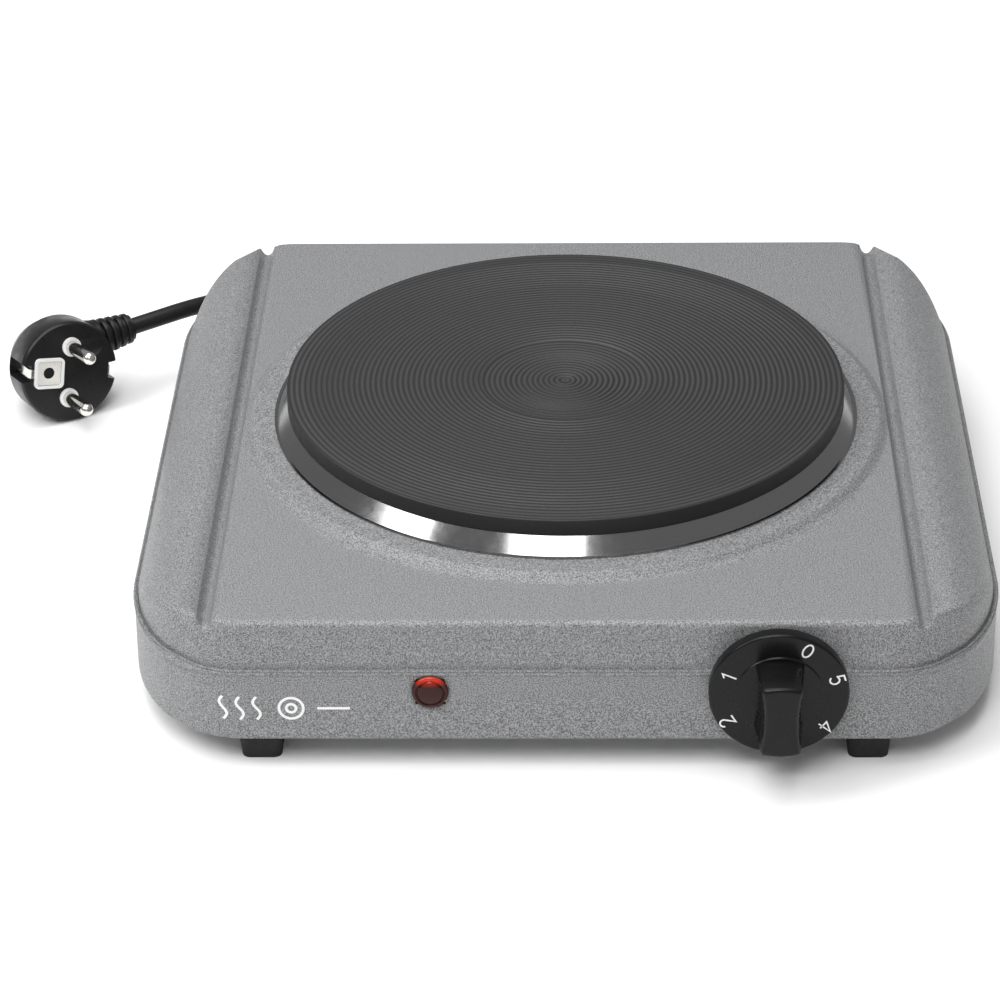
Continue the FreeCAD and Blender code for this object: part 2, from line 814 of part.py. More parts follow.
pole_pitch = 12.0
block_x = 34.0
block_y = 62.0
pole_places = [block_x + pole_pitch * (i - 1) for i in range(3)]
pole_z = base_top + 7.0


def pole_axis(radius, x, y0, y1):
    return Part.makeCylinder(radius, y1 - y0, vec(x, y0, pole_z), vec(0, 1, 0))


def make_terminal_block():
    block = box(block_x - 18, block_x + 18, block_y - 9, block_y + 9, base_top, base_top + 15)
    for x in pole_places:
        block = block.cut(pole_axis(2.6, x, block_y - 10, block_y + 10))
        for side in (1, -1):
            block = block.cut(rod(1.7, x, block_y + side * 4.5, pole_z, base_top + 16))
    return block


def make_sleeve(x):
    sleeve = pole_axis(2.55, x, block_y - 8, block_y + 8).cut(pole_axis(1.7, x, block_y - 9, block_y + 9))
    for side in (1, -1):
        sleeve = sleeve.cut(rod(1.5 + fit, x, block_y + side * 4.5, pole_z, pole_z + 4))
    return sleeve


def make_pole_screws(x):
    return [rod(1.5, x, block_y + side * 4.5, pole_z + wire_radius + fit, base_top + 13) for side in (1, -1)]


def make_cores():
    """Three cores from the end of the sheath to the terminal block."""
    cores = []
    for i, x in enumerate(pole_places):
        turn = math.radians(210 + 120 * i)
        start_x, start_z = bush_x + 1.7 * math.cos(turn), bush_z + 1.7 * math.sin(turn)
        level = start_z - (start_z - pole_z) / 2
        back = block_y + 9.0
        route = [(start_x, inner_end_y, start_z), (start_x, inner_end_y - 6 - 3 * i, start_z),
                 (x + 10 + 3 * i, back + 13 - 3 * i, level), (x, back + 7, pole_z), (x, back - 3, pole_z)]
        cores.append(wire_run(route, core_radius, 2.2))
    return cores


def make_wiring():
    """Internal leads by name, each from tab to tab near the floor of the base."""
    low = base_top + 4.0
    front = block_y - 6.0
    ahead = front - 12.0
    tail_y = -half_y - stack_z0 + leaf_tail
    leaf_x = knob_x + 1.0
    leaf_low, leaf_high = [knob_z + level + skin / 2 for level in layer_levels("spring")]
    left_tab, right_tab = blade_places
    leads = {
        "live_lead": [(pole_places[1], front, pole_z), (pole_places[1], ahead, pole_z),
                      (46, 14, low), (62, -30, low), (leaf_x, tail_y + 16, leaf_low),
                      (leaf_x, tail_y, leaf_low)],
        "switched_lead": [(leaf_x, tail_y, leaf_high), (leaf_x, tail_y + 9, leaf_high),
                          (44, tail_y + 16, leaf_high), (24, terminal_y, blade_low - 6),
                          (right_tab, terminal_y, blade_low - 6), (right_tab, terminal_y, blade_low)],
        "neutral_lead": [(pole_places[0], front, pole_z), (pole_places[0], ahead, pole_z),
                         (10, 10, low), (left_tab - 6, -34, low), (left_tab, terminal_y, low + 2),
                         (left_tab, terminal_y, blade_low)],
        "earth_lead": [(pole_places[2], front, pole_z), (pole_places[2], ahead, pole_z),
                       (62, 36, low), (80, earth_y, barrel_z), (barrel_x, earth_y, barrel_z)],
    }
    return {name: wire_run(route, wire_radius, 4.0) for name, route in leads.items()}


earth_x, earth_y = 104.0, 44.0
barrel_x = earth_x - 12.0
barrel_z = base_top + 3.6


def make_earth_screw():
    """Screw that stands on the base, with the ring tag clamped under its head."""
    shank = rod(1.9, earth_x, earth_y, base_top, barrel_z + 1)
    return join([shank, rod(3.4, earth_x, earth_y, barrel_z + 0.6, barrel_z + 3)])


def make_earth_tag():
    """Ring tag with a crimp barrel on the end of the earth lead, above a spacer."""
    ring = rod(4.0, earth_x, earth_y, base_top, barrel_z + 0.6)
    barrel = Part.makeCylinder(1.9, 8.2, vec(barrel_x, earth_y, barrel_z), vec(1, 0, 0))
    return join([ring, barrel]).cut(rod(1.9 + fit, earth_x, earth_y, base_top - 1, barrel_z + 3))


def make_lamp_leads():
    """From the bulb and its resistor to the plate's tab and to the upper contact leaf."""
    back = -half_y + lamp_depth
    leaf_x, leaf_y = knob_x - 1.0, -half_y - stack_z0 + leaf_tail - 3.0
    leaf_high = knob_z + layer_levels("spring")[1] + skin / 2
    left_tab = blade_places[0]
    right = [(lamp_x + lamp_pitch, back - 3.5, lamp_z), (lamp_x + lamp_pitch, back + 7, lamp_z),
             (-14, leaf_y + 4, leaf_high), (30, leaf_y, leaf_high), (leaf_x, leaf_y, leaf_high)]
    left = [(lamp_x - lamp_pitch, back - 12, lamp_z), (lamp_x - lamp_pitch, back + 9, lamp_z),
            (-34, -70, 24), (left_tab - 11, terminal_y, blade_low + 3),
            (left_tab - 3.15, terminal_y, blade_low + 3)]
    return [wire_run(right, lead_radius, 4.0), wire_run(left, lead_radius, 3.0)]


# ---------------------------------------------------------------- mains cord outside
# The hank is a flat bundle of long turns, two wide and two high, on the floor behind the back wall.
hank_run = 47.0             # straight part of each turn
hank_stub = 20.0            # where the cord joins and leaves, beyond the straight part
hank_x = -half_x + 114.5
hank_y = back_reach + 19.0
hank_end = hank_run / 2 + hank_stub

# Route points are set by hand: from the end of the bush, from the middle of the hank, and from
# the back left corner of the housing.
bush_steps = [(0, 0, 0), (0, 11, 0), (-3, 21.6, -1.2), (-8.8, 30.8, -3.8), (-16.6, 37.8, -7.4),
              (-25.9, 42.4, -11.6)]
hank_steps = [(hank_end + 22.1, hank_outer - 0.4, 6.4), (hank_end + 10.7, hank_outer, cord_radius),
              (hank_end, hank_outer, cord_radius)]
leave_steps = [(-hank_end, hank_outer, 3 * cord_radius), (-hank_end - 12.5, hank_outer, 3 * cord_radius)]
corner_steps = [(46.1, 62, 8.4), (35.9, 53.6, 8.2), (28.3, 41.8, 9.6), (21.7, 28.4, 13.2),
                (14.5, 14.8, 18), (6.7, 1.8, 22.8), (-2.1, -9.2, 25.8), (-12.3, -18, 26.4),
                (-22.9, -24.6, 25.7)]


def route_from(x, y, z, steps):
    return [(x + step[0], y + step[1], z + step[2]) for step in steps]


route_to_hank = route_from(bush_x, back_reach, bush_z, bush_steps) + route_from(hank_x, hank_y, 0, hank_steps)
route_to_plug = route_from(hank_x, hank_y, 0, leave_steps) + route_from(-half_x, half_y, 0, corner_steps)


def racetrack(half_width, z):
    """Closed outline of a long turn with round ends."""
    x0, x1 = hank_x - hank_run / 2, hank_x + hank_run / 2
    y0, y1 = hank_y - half_width, hank_y + half_width
    edges = [
        Part.LineSegment(vec(x0, y1, z), vec(x1, y1, z)),
        Part.Arc(vec(x1, y1, z), vec(x1 + half_width, hank_y, z), vec(x1, y0, z)),
        Part.LineSegment(vec(x1, y0, z), vec(x0, y0, z)),
        Part.Arc(vec(x0, y0, z), vec(x0 - half_width, hank_y, z), vec(x0, y1, z)),
    ]
    return Part.Face(Part.Wire([edge.toShape() for edge in edges]))


def make_hank():
    high = vec(0, 0, 2 * cord_diameter)
    outer = racetrack(hank_outer + cord_radius, 0).extrude(high)
    bundle = outer.cut(racetrack(hank_inner - cord_radius, 0).extrude(high))
    for side, level in ((1, cord_radius), (-1, 3 * cord_radius)):
        start = vec(hank_x + side * hank_run / 2, hank_y + hank_outer, level)
        bundle = bundle.fuse(Part.makeCylinder(cord_radius, hank_stub, start, vec(side, 0, 0)))
    return bundle


def make_tie():
    """Strap round the front run of the hank."""
    y0, y1 = hank_y - hank_outer - cord_radius, hank_y - hank_inner + cord_radius
    top = 2 * cord_diameter
    strap = box(hank_x - 5, hank_x + 5, y0 - 0.8, y1 + 0.8, 0, top + 0.8)
    return strap.cut(box(hank_x - 6, hank_x + 6, y0, y1, -1, top))


def make_cord():
    solids = []
    for name, places in (("to the hank", route_to_hank), ("to the plug", route_to_plug)):
        points = [vec(*place) for place in places]
        radii = cord_radii(points)
        solid, length = tube(points, cord_radius, radii)
        wanted = math.pi * cord_radius ** 2 * length
        print("cord", name, "length", round(length, 1), "radii", [round(r, 1) for r in radii],
              "volume ratio", round(solid.Volume / wanted, 4))
        solids.append(solid)
    turn_outer = 2 * hank_run + 2 * math.pi * hank_outer
    turn_inner = 2 * hank_run + 2 * math.pi * hank_inner
    print("cord in the hank", round(turn_outer + 2 * turn_inner + hank_run, 1))
    return solids


# The plug is built with its face at z = 0 and its pins along +Z, then laid on its rim.
plug_place = vec(-half_x - 43.1, half_y - 46.3, 18.75)
plug_pins_to = vec(0.505, -0.845, 0.161)
plug_up = vec(0.094, 0.239, 0.966)
boot_turn = math.radians(15)
boot_length = 27.5
cord_lean = 0.13            # how far the cord's end face leans against the boot's
boot_end = boot_length - cord_lean * cord_radius
boot_ribs = 13.0            # where the ribs begin
boot_grooves = 4
boot_gap = 1.3
boot_pitch = (boot_end - boot_ribs) / (boot_grooves + 0.5)
boot_y = 6.8
boot_z = -7.0


def plug_frame():
    ahead = FreeCAD.Vector(plug_pins_to).normalize()
    side = plug_up.cross(ahead).normalize()
    up = ahead.cross(side).normalize()
    return FreeCAD.Matrix(side.x, up.x, ahead.x, plug_place.x, side.y, up.y, ahead.y, plug_place.y,
                          side.z, up.z, ahead.z, plug_place.z, 0, 0, 0, 1)


def lay_plug(shape):
    return shape.transformShape(plug_frame(), True)


def make_plug_body():
    body = turned([
        (0, -plug_depth), (11.5, -plug_depth), (14.6, -plug_depth + 2.4),
        (plug_radius - 0.5, -2.0), (plug_radius, -1.0), (plug_radius - 0.6, 0), (0, 0),
    ])
    direction = vec(math.cos(boot_turn), math.sin(boot_turn), 0)
    root = vec(0, boot_y, boot_z)
    neck = Part.makeCone(8.0, 7.0, boot_ribs - 8, root + direction * 8, direction)
    boot = Part.makeCone(7.0, 5.6, boot_end - boot_ribs, root + direction * boot_ribs, direction)
    core = Part.makeCylinder(4.6, boot_end - boot_ribs, root + direction * boot_ribs, direction)
    for i in range(boot_grooves):
        start = root + direction * (boot_ribs + boot_pitch * (i + 0.5))
        boot = boot.cut(Part.makeCylinder(12, boot_gap, start, direction))
    body = join([body, neck, boot, core])
    for side in (1, -1):
        x0, x1 = sorted((side * 15.0, side * 25.0))
        body = body.cut(box(x0, x1, -3.4, 3.4, -13, 1))
    for side in (1, -1):
        body = body.cut(rod(pin_root, 0, side * pin_pitch / 2, -6, 1))
    pocket = box(insert_x - insert_half, insert_x + insert_half, -insert_half, insert_half, -2, 1)
    return body.cut(pocket)


insert_x = -8.2
insert_half = 6.0


def make_earth_insert():
    insert = box(insert_x - insert_half, insert_x + insert_half, -insert_half, insert_half, -2, 0.6)
    return insert.cut(rod(2.5, insert_x, 0, -3, 1))


def make_pin(side):
    y = side * pin_pitch / 2
    shaft = rod(pin_radius, 0, y, 0, pin_length - pin_radius)
    tip = Part.makeSphere(pin_radius, vec(0, y, pin_length - pin_radius))
    return join([rod(pin_root, 0, y, -6, 0), shaft, tip])


def make_collar(side):
    return pipe(3.5, pin_radius + fit, 0, side * pin_pitch / 2, 0, 0.9)


def make_clip(side):
    """Sprung earth contact that lies in the notch at one side of the plug."""
    x0, x1 = sorted((side * 15.0, side * 15.9))
    return box(x0, x1, -2.6, 2.6, -12.6, -0.6)


# ---------------------------------------------------------------- write the nodes
os.makedirs("parts", exist_ok=True)

save("housing", make_housing())
save("base_pan", make_base())
save_group("rubber_feet", [make_foot(x, y) for x, y in foot_places()])
save_group("foot_screws", [make_foot_screw(x, y) for x, y in foot_places()])
save_group("screw_brackets", [make_bracket(x, y) for x, y in foot_places()])

save("trim_ring", make_trim_ring())
save("iron_plate", make_plate())
save_group("heating_coils", [make_coil(radius) for radius in channel_radii])
save_group("magnesia_filling", [make_filling(radius) for radius in channel_radii])
save("plate_cover", make_cover())
save("bridge_strap", make_bridge())
save("stud_spacer", make_spacer())
save("heat_reflector", make_reflector())
save("plate_stud", make_stud())
washer_low = nut_low + nut_height
save("stud_washer", pipe(9.0, stud_radius + 0.3, 0, 0, washer_low, washer_low + washer_sheet))
save("stud_nut", hexagon(10.0, stud_radius + fit, 0, 0, nut_low, nut_low + nut_height))
save("ceramic_terminal", make_plate_terminal())
save_group("plate_tabs", make_blades())

stack, stack_top = make_stack()
save("thermostat_frame", on_wall(make_frame(), knob_x, knob_z))
save("thermostat_bush", on_wall(make_bush(), knob_x, knob_z))
save("cam_spindle", on_wall(make_spindle(), knob_x, knob_z))
save("cam_lever", on_wall(make_lever(), knob_x, knob_z))
save("lever_pin", on_wall(make_lever_pin(), knob_x, knob_z))
save_group("ceramic_washers", [on_wall(piece, knob_x, knob_z) for piece in stack["washer"]])
save("bimetal_strip", on_wall(stack["bimetal"][0], knob_x, knob_z))
save_group("contact_points", [on_wall(piece, knob_x, knob_z) for piece in make_contacts(stack)])
save_group("contact_leaves", [on_wall(piece, knob_x, knob_z) for piece in stack["spring"]])
save("stack_screw", on_wall(make_stack_screw(stack_top), knob_x, knob_z))
save_group("thermostat_screws", [on_wall(make_thermostat_screw(s), knob_x, knob_z) for s in (1, -1)])

save("knob", on_wall(make_knob(), knob_x, knob_z))
save("knob_clip", on_wall(make_knob_clip(), knob_x, knob_z))

save("lamp_lens", on_wall(make_lens(), lamp_x, lamp_z))
save("lamp_body", on_wall(make_lamp_body(), lamp_x, lamp_z))
save("lamp_clip", on_wall(make_lamp_clip(), lamp_x, lamp_z))
save("neon_bulb", on_wall(make_bulb(), lamp_x, lamp_z))
save("lamp_resistor", on_wall(make_resistor(), lamp_x, lamp_z))
save_group("lamp_leads", make_lamp_leads())

save("terminal_block", make_terminal_block())
save_group("terminal_sleeves", [make_sleeve(x) for x in pole_places])
save_group("terminal_screws", [screw for x in pole_places for screw in make_pole_screws(x)])
save_group("cord_cores", make_cores())
for lead_name, lead in make_wiring().items():
    save(lead_name, lead)
save("earth_tag", make_earth_tag())
save("earth_screw", make_earth_screw())

save("cord_bush", face_back(make_cord_bush(), bush_x, half_y, bush_z))
save("inner_cord", make_inner_cord())
save("cord_cradle", make_cradle())
save("cord_clamp", make_clamp())
save_group("clamp_screws", [make_clamp_screw(side) for side in (1, -1)])

save_group("mains_cord", make_cord())
save("cord_hank", make_hank())
save("hank_tie", make_tie())
save("plug_body", lay_plug(make_plug_body()))
save_group("plug_pins", [lay_plug(make_pin(side)) for side in (1, -1)])
save_group("pin_collars", [lay_plug(make_collar(side)) for side in (1, -1)])
save("earth_insert", lay_plug(make_earth_insert()))
save_group("earth_clips", [lay_plug(make_clip(side)) for side in (1, -1)])
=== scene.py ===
import json
import math

import bmesh
import bpy
import numpy as np
from bpy.props import FloatProperty, FloatVectorProperty, IntProperty, PointerProperty
from mathutils import Matrix, Vector

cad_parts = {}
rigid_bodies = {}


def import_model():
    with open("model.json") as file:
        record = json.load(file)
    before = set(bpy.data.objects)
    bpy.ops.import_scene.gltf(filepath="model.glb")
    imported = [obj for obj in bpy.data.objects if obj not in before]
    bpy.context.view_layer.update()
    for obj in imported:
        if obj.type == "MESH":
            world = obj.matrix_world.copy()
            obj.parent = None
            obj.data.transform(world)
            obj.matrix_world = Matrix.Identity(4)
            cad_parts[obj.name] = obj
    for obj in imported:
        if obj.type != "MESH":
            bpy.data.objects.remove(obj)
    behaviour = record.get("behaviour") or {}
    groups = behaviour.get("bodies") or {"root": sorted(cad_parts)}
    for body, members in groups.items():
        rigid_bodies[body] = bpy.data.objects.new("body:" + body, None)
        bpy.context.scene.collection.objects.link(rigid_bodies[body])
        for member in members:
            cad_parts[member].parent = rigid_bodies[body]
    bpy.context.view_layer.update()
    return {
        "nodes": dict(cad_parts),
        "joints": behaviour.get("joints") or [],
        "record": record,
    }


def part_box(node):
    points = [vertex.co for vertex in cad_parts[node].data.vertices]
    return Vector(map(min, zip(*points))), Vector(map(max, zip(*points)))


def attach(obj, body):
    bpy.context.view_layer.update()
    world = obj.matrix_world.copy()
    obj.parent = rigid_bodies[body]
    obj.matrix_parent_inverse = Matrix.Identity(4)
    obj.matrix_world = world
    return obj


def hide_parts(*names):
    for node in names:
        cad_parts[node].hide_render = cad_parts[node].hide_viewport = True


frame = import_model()

# Looks of a single hot plate burner. Metres, +Z up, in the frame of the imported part.

bl_info = {
    "name": "Hot plate burner",
    "version": (1, 0, 0),
    "blender": (4, 5, 0),
    "location": "View3D > Sidebar > Hot plate",
    "description": "Builds the looks of a single hot plate burner round its packed frame",
    "category": "Object",
}

# ---------------------------------------------------------------- places from the frame
housing_low, housing_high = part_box("housing")
plate_low, plate_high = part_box("iron_plate")
knob_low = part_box("knob")[0]
lens_low, lens_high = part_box("lamp_lens")
lamp_x = (lens_low.x + lens_high.x) / 2
lamp_z = (lens_low.z + lens_high.z) / 2
half_x = housing_high.x
half_y = housing_high.y
wall_low = housing_low.z
knob_axis = Vector(frame["joints"][0]["pos_m"])
wall_front = -half_y


# ---------------------------------------------------------------- settings
def size(name, text, value, low=0.0, high=1.0):
    return FloatProperty(name=name, description=text, default=value, min=low, max=high, unit="LENGTH",
                         precision=5)


def colour(name, text, value):
    return FloatVectorProperty(name=name, description=text, default=value, size=3, min=0, max=1,
                               subtype="COLOR")


def angle(name, text, degrees):
    return FloatProperty(name=name, description=text, default=math.radians(degrees), subtype="ANGLE")


class StageSettings(bpy.types.PropertyGroup):
    target: FloatVectorProperty(name="Target", description="Point that the camera looks at",
                                default=(-0.02228, 0.0, 0.01632), size=3, subtype="XYZ")
    distance: size("Distance", "From the camera to its target", 1.1771, 0.1, 10)
    azimuth: angle("Azimuth", "Camera's turn round the object, from the front", 1.559)
    elevation: angle("Elevation", "Camera's height as an angle", 30.452)
    roll: angle("Roll", "Camera's tilt about its own axis", -0.876)
    lens: FloatProperty(name="Lens", description="Focal length in millimetres on a 36 mm sensor",
                        default=124.86, min=10, max=500, subtype="NONE")
    floor_colour: colour("Floor", "Colour of the pale floor", (0.93, 0.93, 0.93))
    key_power: FloatProperty(name="Key light", description="Power of the soft box overhead, in watts",
                             default=20.0, min=0, subtype="NONE")
    fill_power: FloatProperty(name="Fill light", description="Power of the light from the front, in watts",
                              default=7.0, min=0, subtype="NONE")
    side_power: FloatProperty(name="Side light", description="Power of the light from the left, in watts",
                              default=6.0, min=0, subtype="NONE")
    sky: FloatProperty(name="Sky", description="Strength of the even white surroundings",
                       default=0.30, min=0, subtype="NONE")


class CordSettings(bpy.types.PropertyGroup):
    diameter: size("Diameter", "Outside of the mains cord", 0.0062, 0.001, 0.02)
    length: size("Length", "Real length of the free cord", 1.0, 0.1, 5)
    fold: size("Fold", "Half width of an inner turn of the tied bundle", 0.020, 0.005, 0.1)
    run: size("Run", "Straight part of each turn", 0.047, 0.005, 0.3)
    steps: IntProperty(name="Steps", description="Points in each half turn", default=12, min=6,
                       subtype="NONE")
    shade: colour("Colour", "Colour of the cord's rubber", (0.010, 0.010, 0.011))


class HousingSettings(bpy.types.PropertyGroup):
    corner_x: size("Corner along X", "Reach of a plan corner along X", 0.038)
    corner_y: size("Corner along Y", "Reach of a plan corner along Y", 0.054)
    sheet: size("Sheet", "Thickness of the pressed steel", 0.001, 0.0003, 0.005)
    crown: size("Crown", "Height of the deck above the ledge", 0.015)
    ledge: size("Ledge", "Width of the step all round", 0.0016)
    lean: size("Lean", "How far the front and back of the crown lean in", 0.0020)
    step: size("Step", "Height of the crown's edge above the ledge at the sides", 0.0008)
    crease: size("Crease", "Length over which the crown's edge turns", 0.0025)
    draft: size("Draft", "How far the top of the wall stands in from its foot", 0.0003)
    emboss: size("Emboss", "Height of the raised annulus", 0.0021)
    emboss_inner: size("Emboss inner", "Radius of the annulus's flat top", 0.1040)
    emboss_outer: size("Emboss outer", "Radius of the annulus's foot", 0.1074)
    opening: size("Opening", "Radius of the opening under the plate", 0.0886)
    groove_place: size("Groove place", "Each pressed channel from the middle", 0.1095)
    groove_depth: size("Groove depth", "Depth of the pressed channels", 0.00345)
    groove_half: size("Groove half width", "Half width of the channels with their soft edges", 0.0026)
    paint: colour("Paint", "Colour of the speckled grey coat", (0.182, 0.184, 0.188))


class PlateSettings(bpy.types.PropertyGroup):
    rim: size("Rim", "Height of the visible side", 0.0055)
    band: size("Band", "Plain band at the edge", 0.0056)
    pitch: size("Pitch", "Distance between two turned rings", 0.0018, 0.0005, 0.01)
    depth: size("Depth", "Height of a turned ring", 0.00026)
    recess: size("Recess", "Radius of the middle recess", 0.0274)
    recess_depth: size("Recess depth", "Depth of the middle recess", 0.0006)
    core: size("Core", "Radius of the part below the rim", 0.086)
    iron: colour("Iron", "Colour of the plate", (0.024, 0.024, 0.025))


class KnobSettings(bpy.types.PropertyGroup):
    radius: size("Radius", "Outside of the skirt", 0.0213)
    gap: size("Gap", "Skirt in front of the wall", 0.0010)
    face: size("Face", "Skirt's face in front of the wall", 0.0052)
    disc: size("Disc", "Radius of the raised disc", 0.0134)
    wall: size("Wall", "Thickness of the skirt", 0.0017)
    grip: size("Grip", "Length of the bar", 0.0247)
    numeral: size("Numeral", "Height of a numeral", 0.0050)
    ring: size("Numeral ring", "Radius on which the numerals stand", 0.0180)
    stroke: size("Stroke", "Width of a printed line", 0.00052)
    plastic: colour("Plastic", "Colour of the knob", (0.006, 0.006, 0.0065))


class LampSettings(bpy.types.PropertyGroup):
    bezel: size("Bezel", "Radius of the rim", 0.0056)
    lens: size("Lens", "Radius of the domed window", 0.0041)
    red: colour("Red", "Colour of the lens", (0.16, 0.010, 0.004))


class PlugSettings(bpy.types.PropertyGroup):
    radius: size("Radius", "Outside of the plug's body", 0.0186)
    depth: size("Depth", "Body behind its face", 0.024)
    notch: size("Notch", "Half width of a side notch", 0.0034)
    clip: size("Clip", "Width of an earth contact", 0.0032)
    boot_turn: angle("Boot turn", "Rise of the strain relief from the side", 15)
    boot_end: size("Boot end", "End of the strain relief from the plug's axis", 0.0271)
    boot_core: size("Boot core", "Radius between the ribs", 0.0047)


class MarkSettings(bpy.types.PropertyGroup):
    left: size("Left", "Left end of the mark from the middle, to the left", 0.1080)
    low: size("Low", "Bottom of the mark above the floor", 0.0172)
    high: size("High", "Height of the mark", 0.0082)
    stroke: size("Stroke", "Width of its lines", 0.00085)
    print_colour: colour("Print", "Colour of the printing", (0.80, 0.80, 0.80))


# ---------------------------------------------------------------- mesh helpers
def quads(rows, columns, wrap=False):
    """Corner numbers of a grid's faces, row by row. With wrap the last column joins the first."""
    row = np.arange(rows - 1)[:, None] * columns
    column = np.arange(columns if wrap else columns - 1)[None, :]
    after = (column + 1) % columns
    corners = [row + column, row + after, row + columns + after, row + columns + column]
    return np.stack(corners, -1).reshape(-1, 4)


def weld(parts):
    """Parts are pairs of points and faces. Points at one place become one, and folded faces go."""
    points, faces, start = [], [], 0
    for co, corners in parts:
        points.append(np.asarray(co, float).reshape(-1, 3))
        faces.append(np.asarray(corners) + start)
        start += len(points[-1])
    points = np.concatenate(points)
    keys = np.round(points * 1e7).astype(np.int64)
    _, first, place = np.unique(keys, axis=0, return_index=True, return_inverse=True)
    place = place.reshape(-1)
    kept = []
    for group in faces:
        for corners in place[group].tolist():
            ring = [a for a, b in zip(corners, corners[1:] + corners[:1]) if a != b]
            if len(set(ring)) == len(ring) > 2:
                kept.append(ring)
    return points[first], kept


def make_piece(name, parts, middle=(0, 0, 0)):
    """A smooth mesh of these parts, with its faces turned away from the middle."""
    points, faces = weld(parts)
    mesh = bpy.data.meshes.new(name)
    mesh.from_pydata(points.tolist(), [], faces)
    work = bmesh.new()
    work.from_mesh(mesh)
    bmesh.ops.recalc_face_normals(work, faces=work.faces)
    out = sum(f.calc_area() * f.normal.dot(f.calc_center_median() - Vector(middle)) for f in work.faces)
    if out < 0:
        bmesh.ops.reverse_faces(work, faces=work.faces)
    work.to_mesh(mesh)
    work.free()
    mesh.shade_smooth()
    piece = bpy.data.objects.new(name, mesh)
    bpy.context.scene.collection.objects.link(piece)
    return piece


def soften(outline, steps=5):
    """An outline of (x, y, r) corners as points: each corner with r turns over r along both sides.
    Between a, corner b and c the turn is the curve (1-t)^2 a + 2t(1-t) b + t^2 c."""
    corners = [np.array(p[:2], float) for p in outline]
    points = []
    for i, (corner, item) in enumerate(zip(corners, outline)):
        reach = item[2] if len(item) > 2 else 0
        if reach == 0 or i in (0, len(corners) - 1):
            points.append(corner)
            continue
        back, on = corners[i - 1] - corner, corners[i + 1] - corner
        a = corner + back / np.linalg.norm(back) * reach
        c = corner + on / np.linalg.norm(on) * reach
        for t in np.linspace(0, 1, steps):
            points.append((1 - t) ** 2 * a + 2 * t * (1 - t) * corner + t * t * c)
    return np.array(points)


def turned(profile, count, origin=(0, 0, 0), u=(1, 0, 0), v=(0, 1, 0), w=(0, 0, 1)):
    """Surface of revolution: origin + r cos(a) u + r sin(a) v + h w for each (r, h) of the profile."""
    a = np.linspace(0, 2 * math.pi, count, endpoint=False)
    r, h = profile[:, 0][:, None, None], profile[:, 1][:, None, None]
    around = np.cos(a)[None, :, None] * np.array(u) + np.sin(a)[None, :, None] * np.array(v)
    points = np.array(origin) + r * around + h * np.array(w)
    return points.reshape(-1, 3), quads(len(profile), count, wrap=True)


def ribbon(path, width, thick, closed=False):
    """A flat strip along a path in its plane: path + s n(t) width/2 for s from -1 to 1, thick high.
    n is the path's normal, longer at a corner so that the strip keeps its width."""
    path = np.array(path, float)
    if closed:
        ahead = np.roll(path, -1, 0) - path
        behind = path - np.roll(path, 1, 0)
    else:
        step = np.diff(path, axis=0)
        ahead = np.vstack([step, step[-1:]])
        behind = np.vstack([step[:1], step])
    ahead = ahead / np.linalg.norm(ahead, axis=1)[:, None]
    behind = behind / np.linalg.norm(behind, axis=1)[:, None]
    along = ahead + behind
    along = along / np.linalg.norm(along, axis=1)[:, None]
    cosine = np.clip((along * ahead).sum(1), 0.5, 1)[:, None]
    normal = np.stack([-along[:, 1], along[:, 0]], 1) * width / 2 / cosine
    rows = [(path + normal, thick), (path - normal, thick), (path - normal, 0), (path + normal, 0)]
    points = np.stack([np.column_stack([p, np.full(len(p), h)]) for p, h in rows], 1)
    n = len(path)
    faces = quads(n + closed, 4, wrap=True) % (4 * n)
    if not closed:
        faces = np.vstack([faces, [[0, 1, 2, 3]], [[4 * n - 1, 4 * n - 2, 4 * n - 3, 4 * n - 4]]])
    return points.reshape(-1, 3), faces


def arc(x, y, rx, ry, start, end, steps=12):
    """Points (x + rx cos a, y + ry sin a) for a from start to end in degrees."""
    a = np.radians(np.linspace(start, end, steps))
    return np.column_stack([x + rx * np.cos(a), y + ry * np.sin(a)]).tolist()


def follows(piece, body, slot, *nodes):
    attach(piece, body)
    if nodes:
        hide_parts(*nodes)


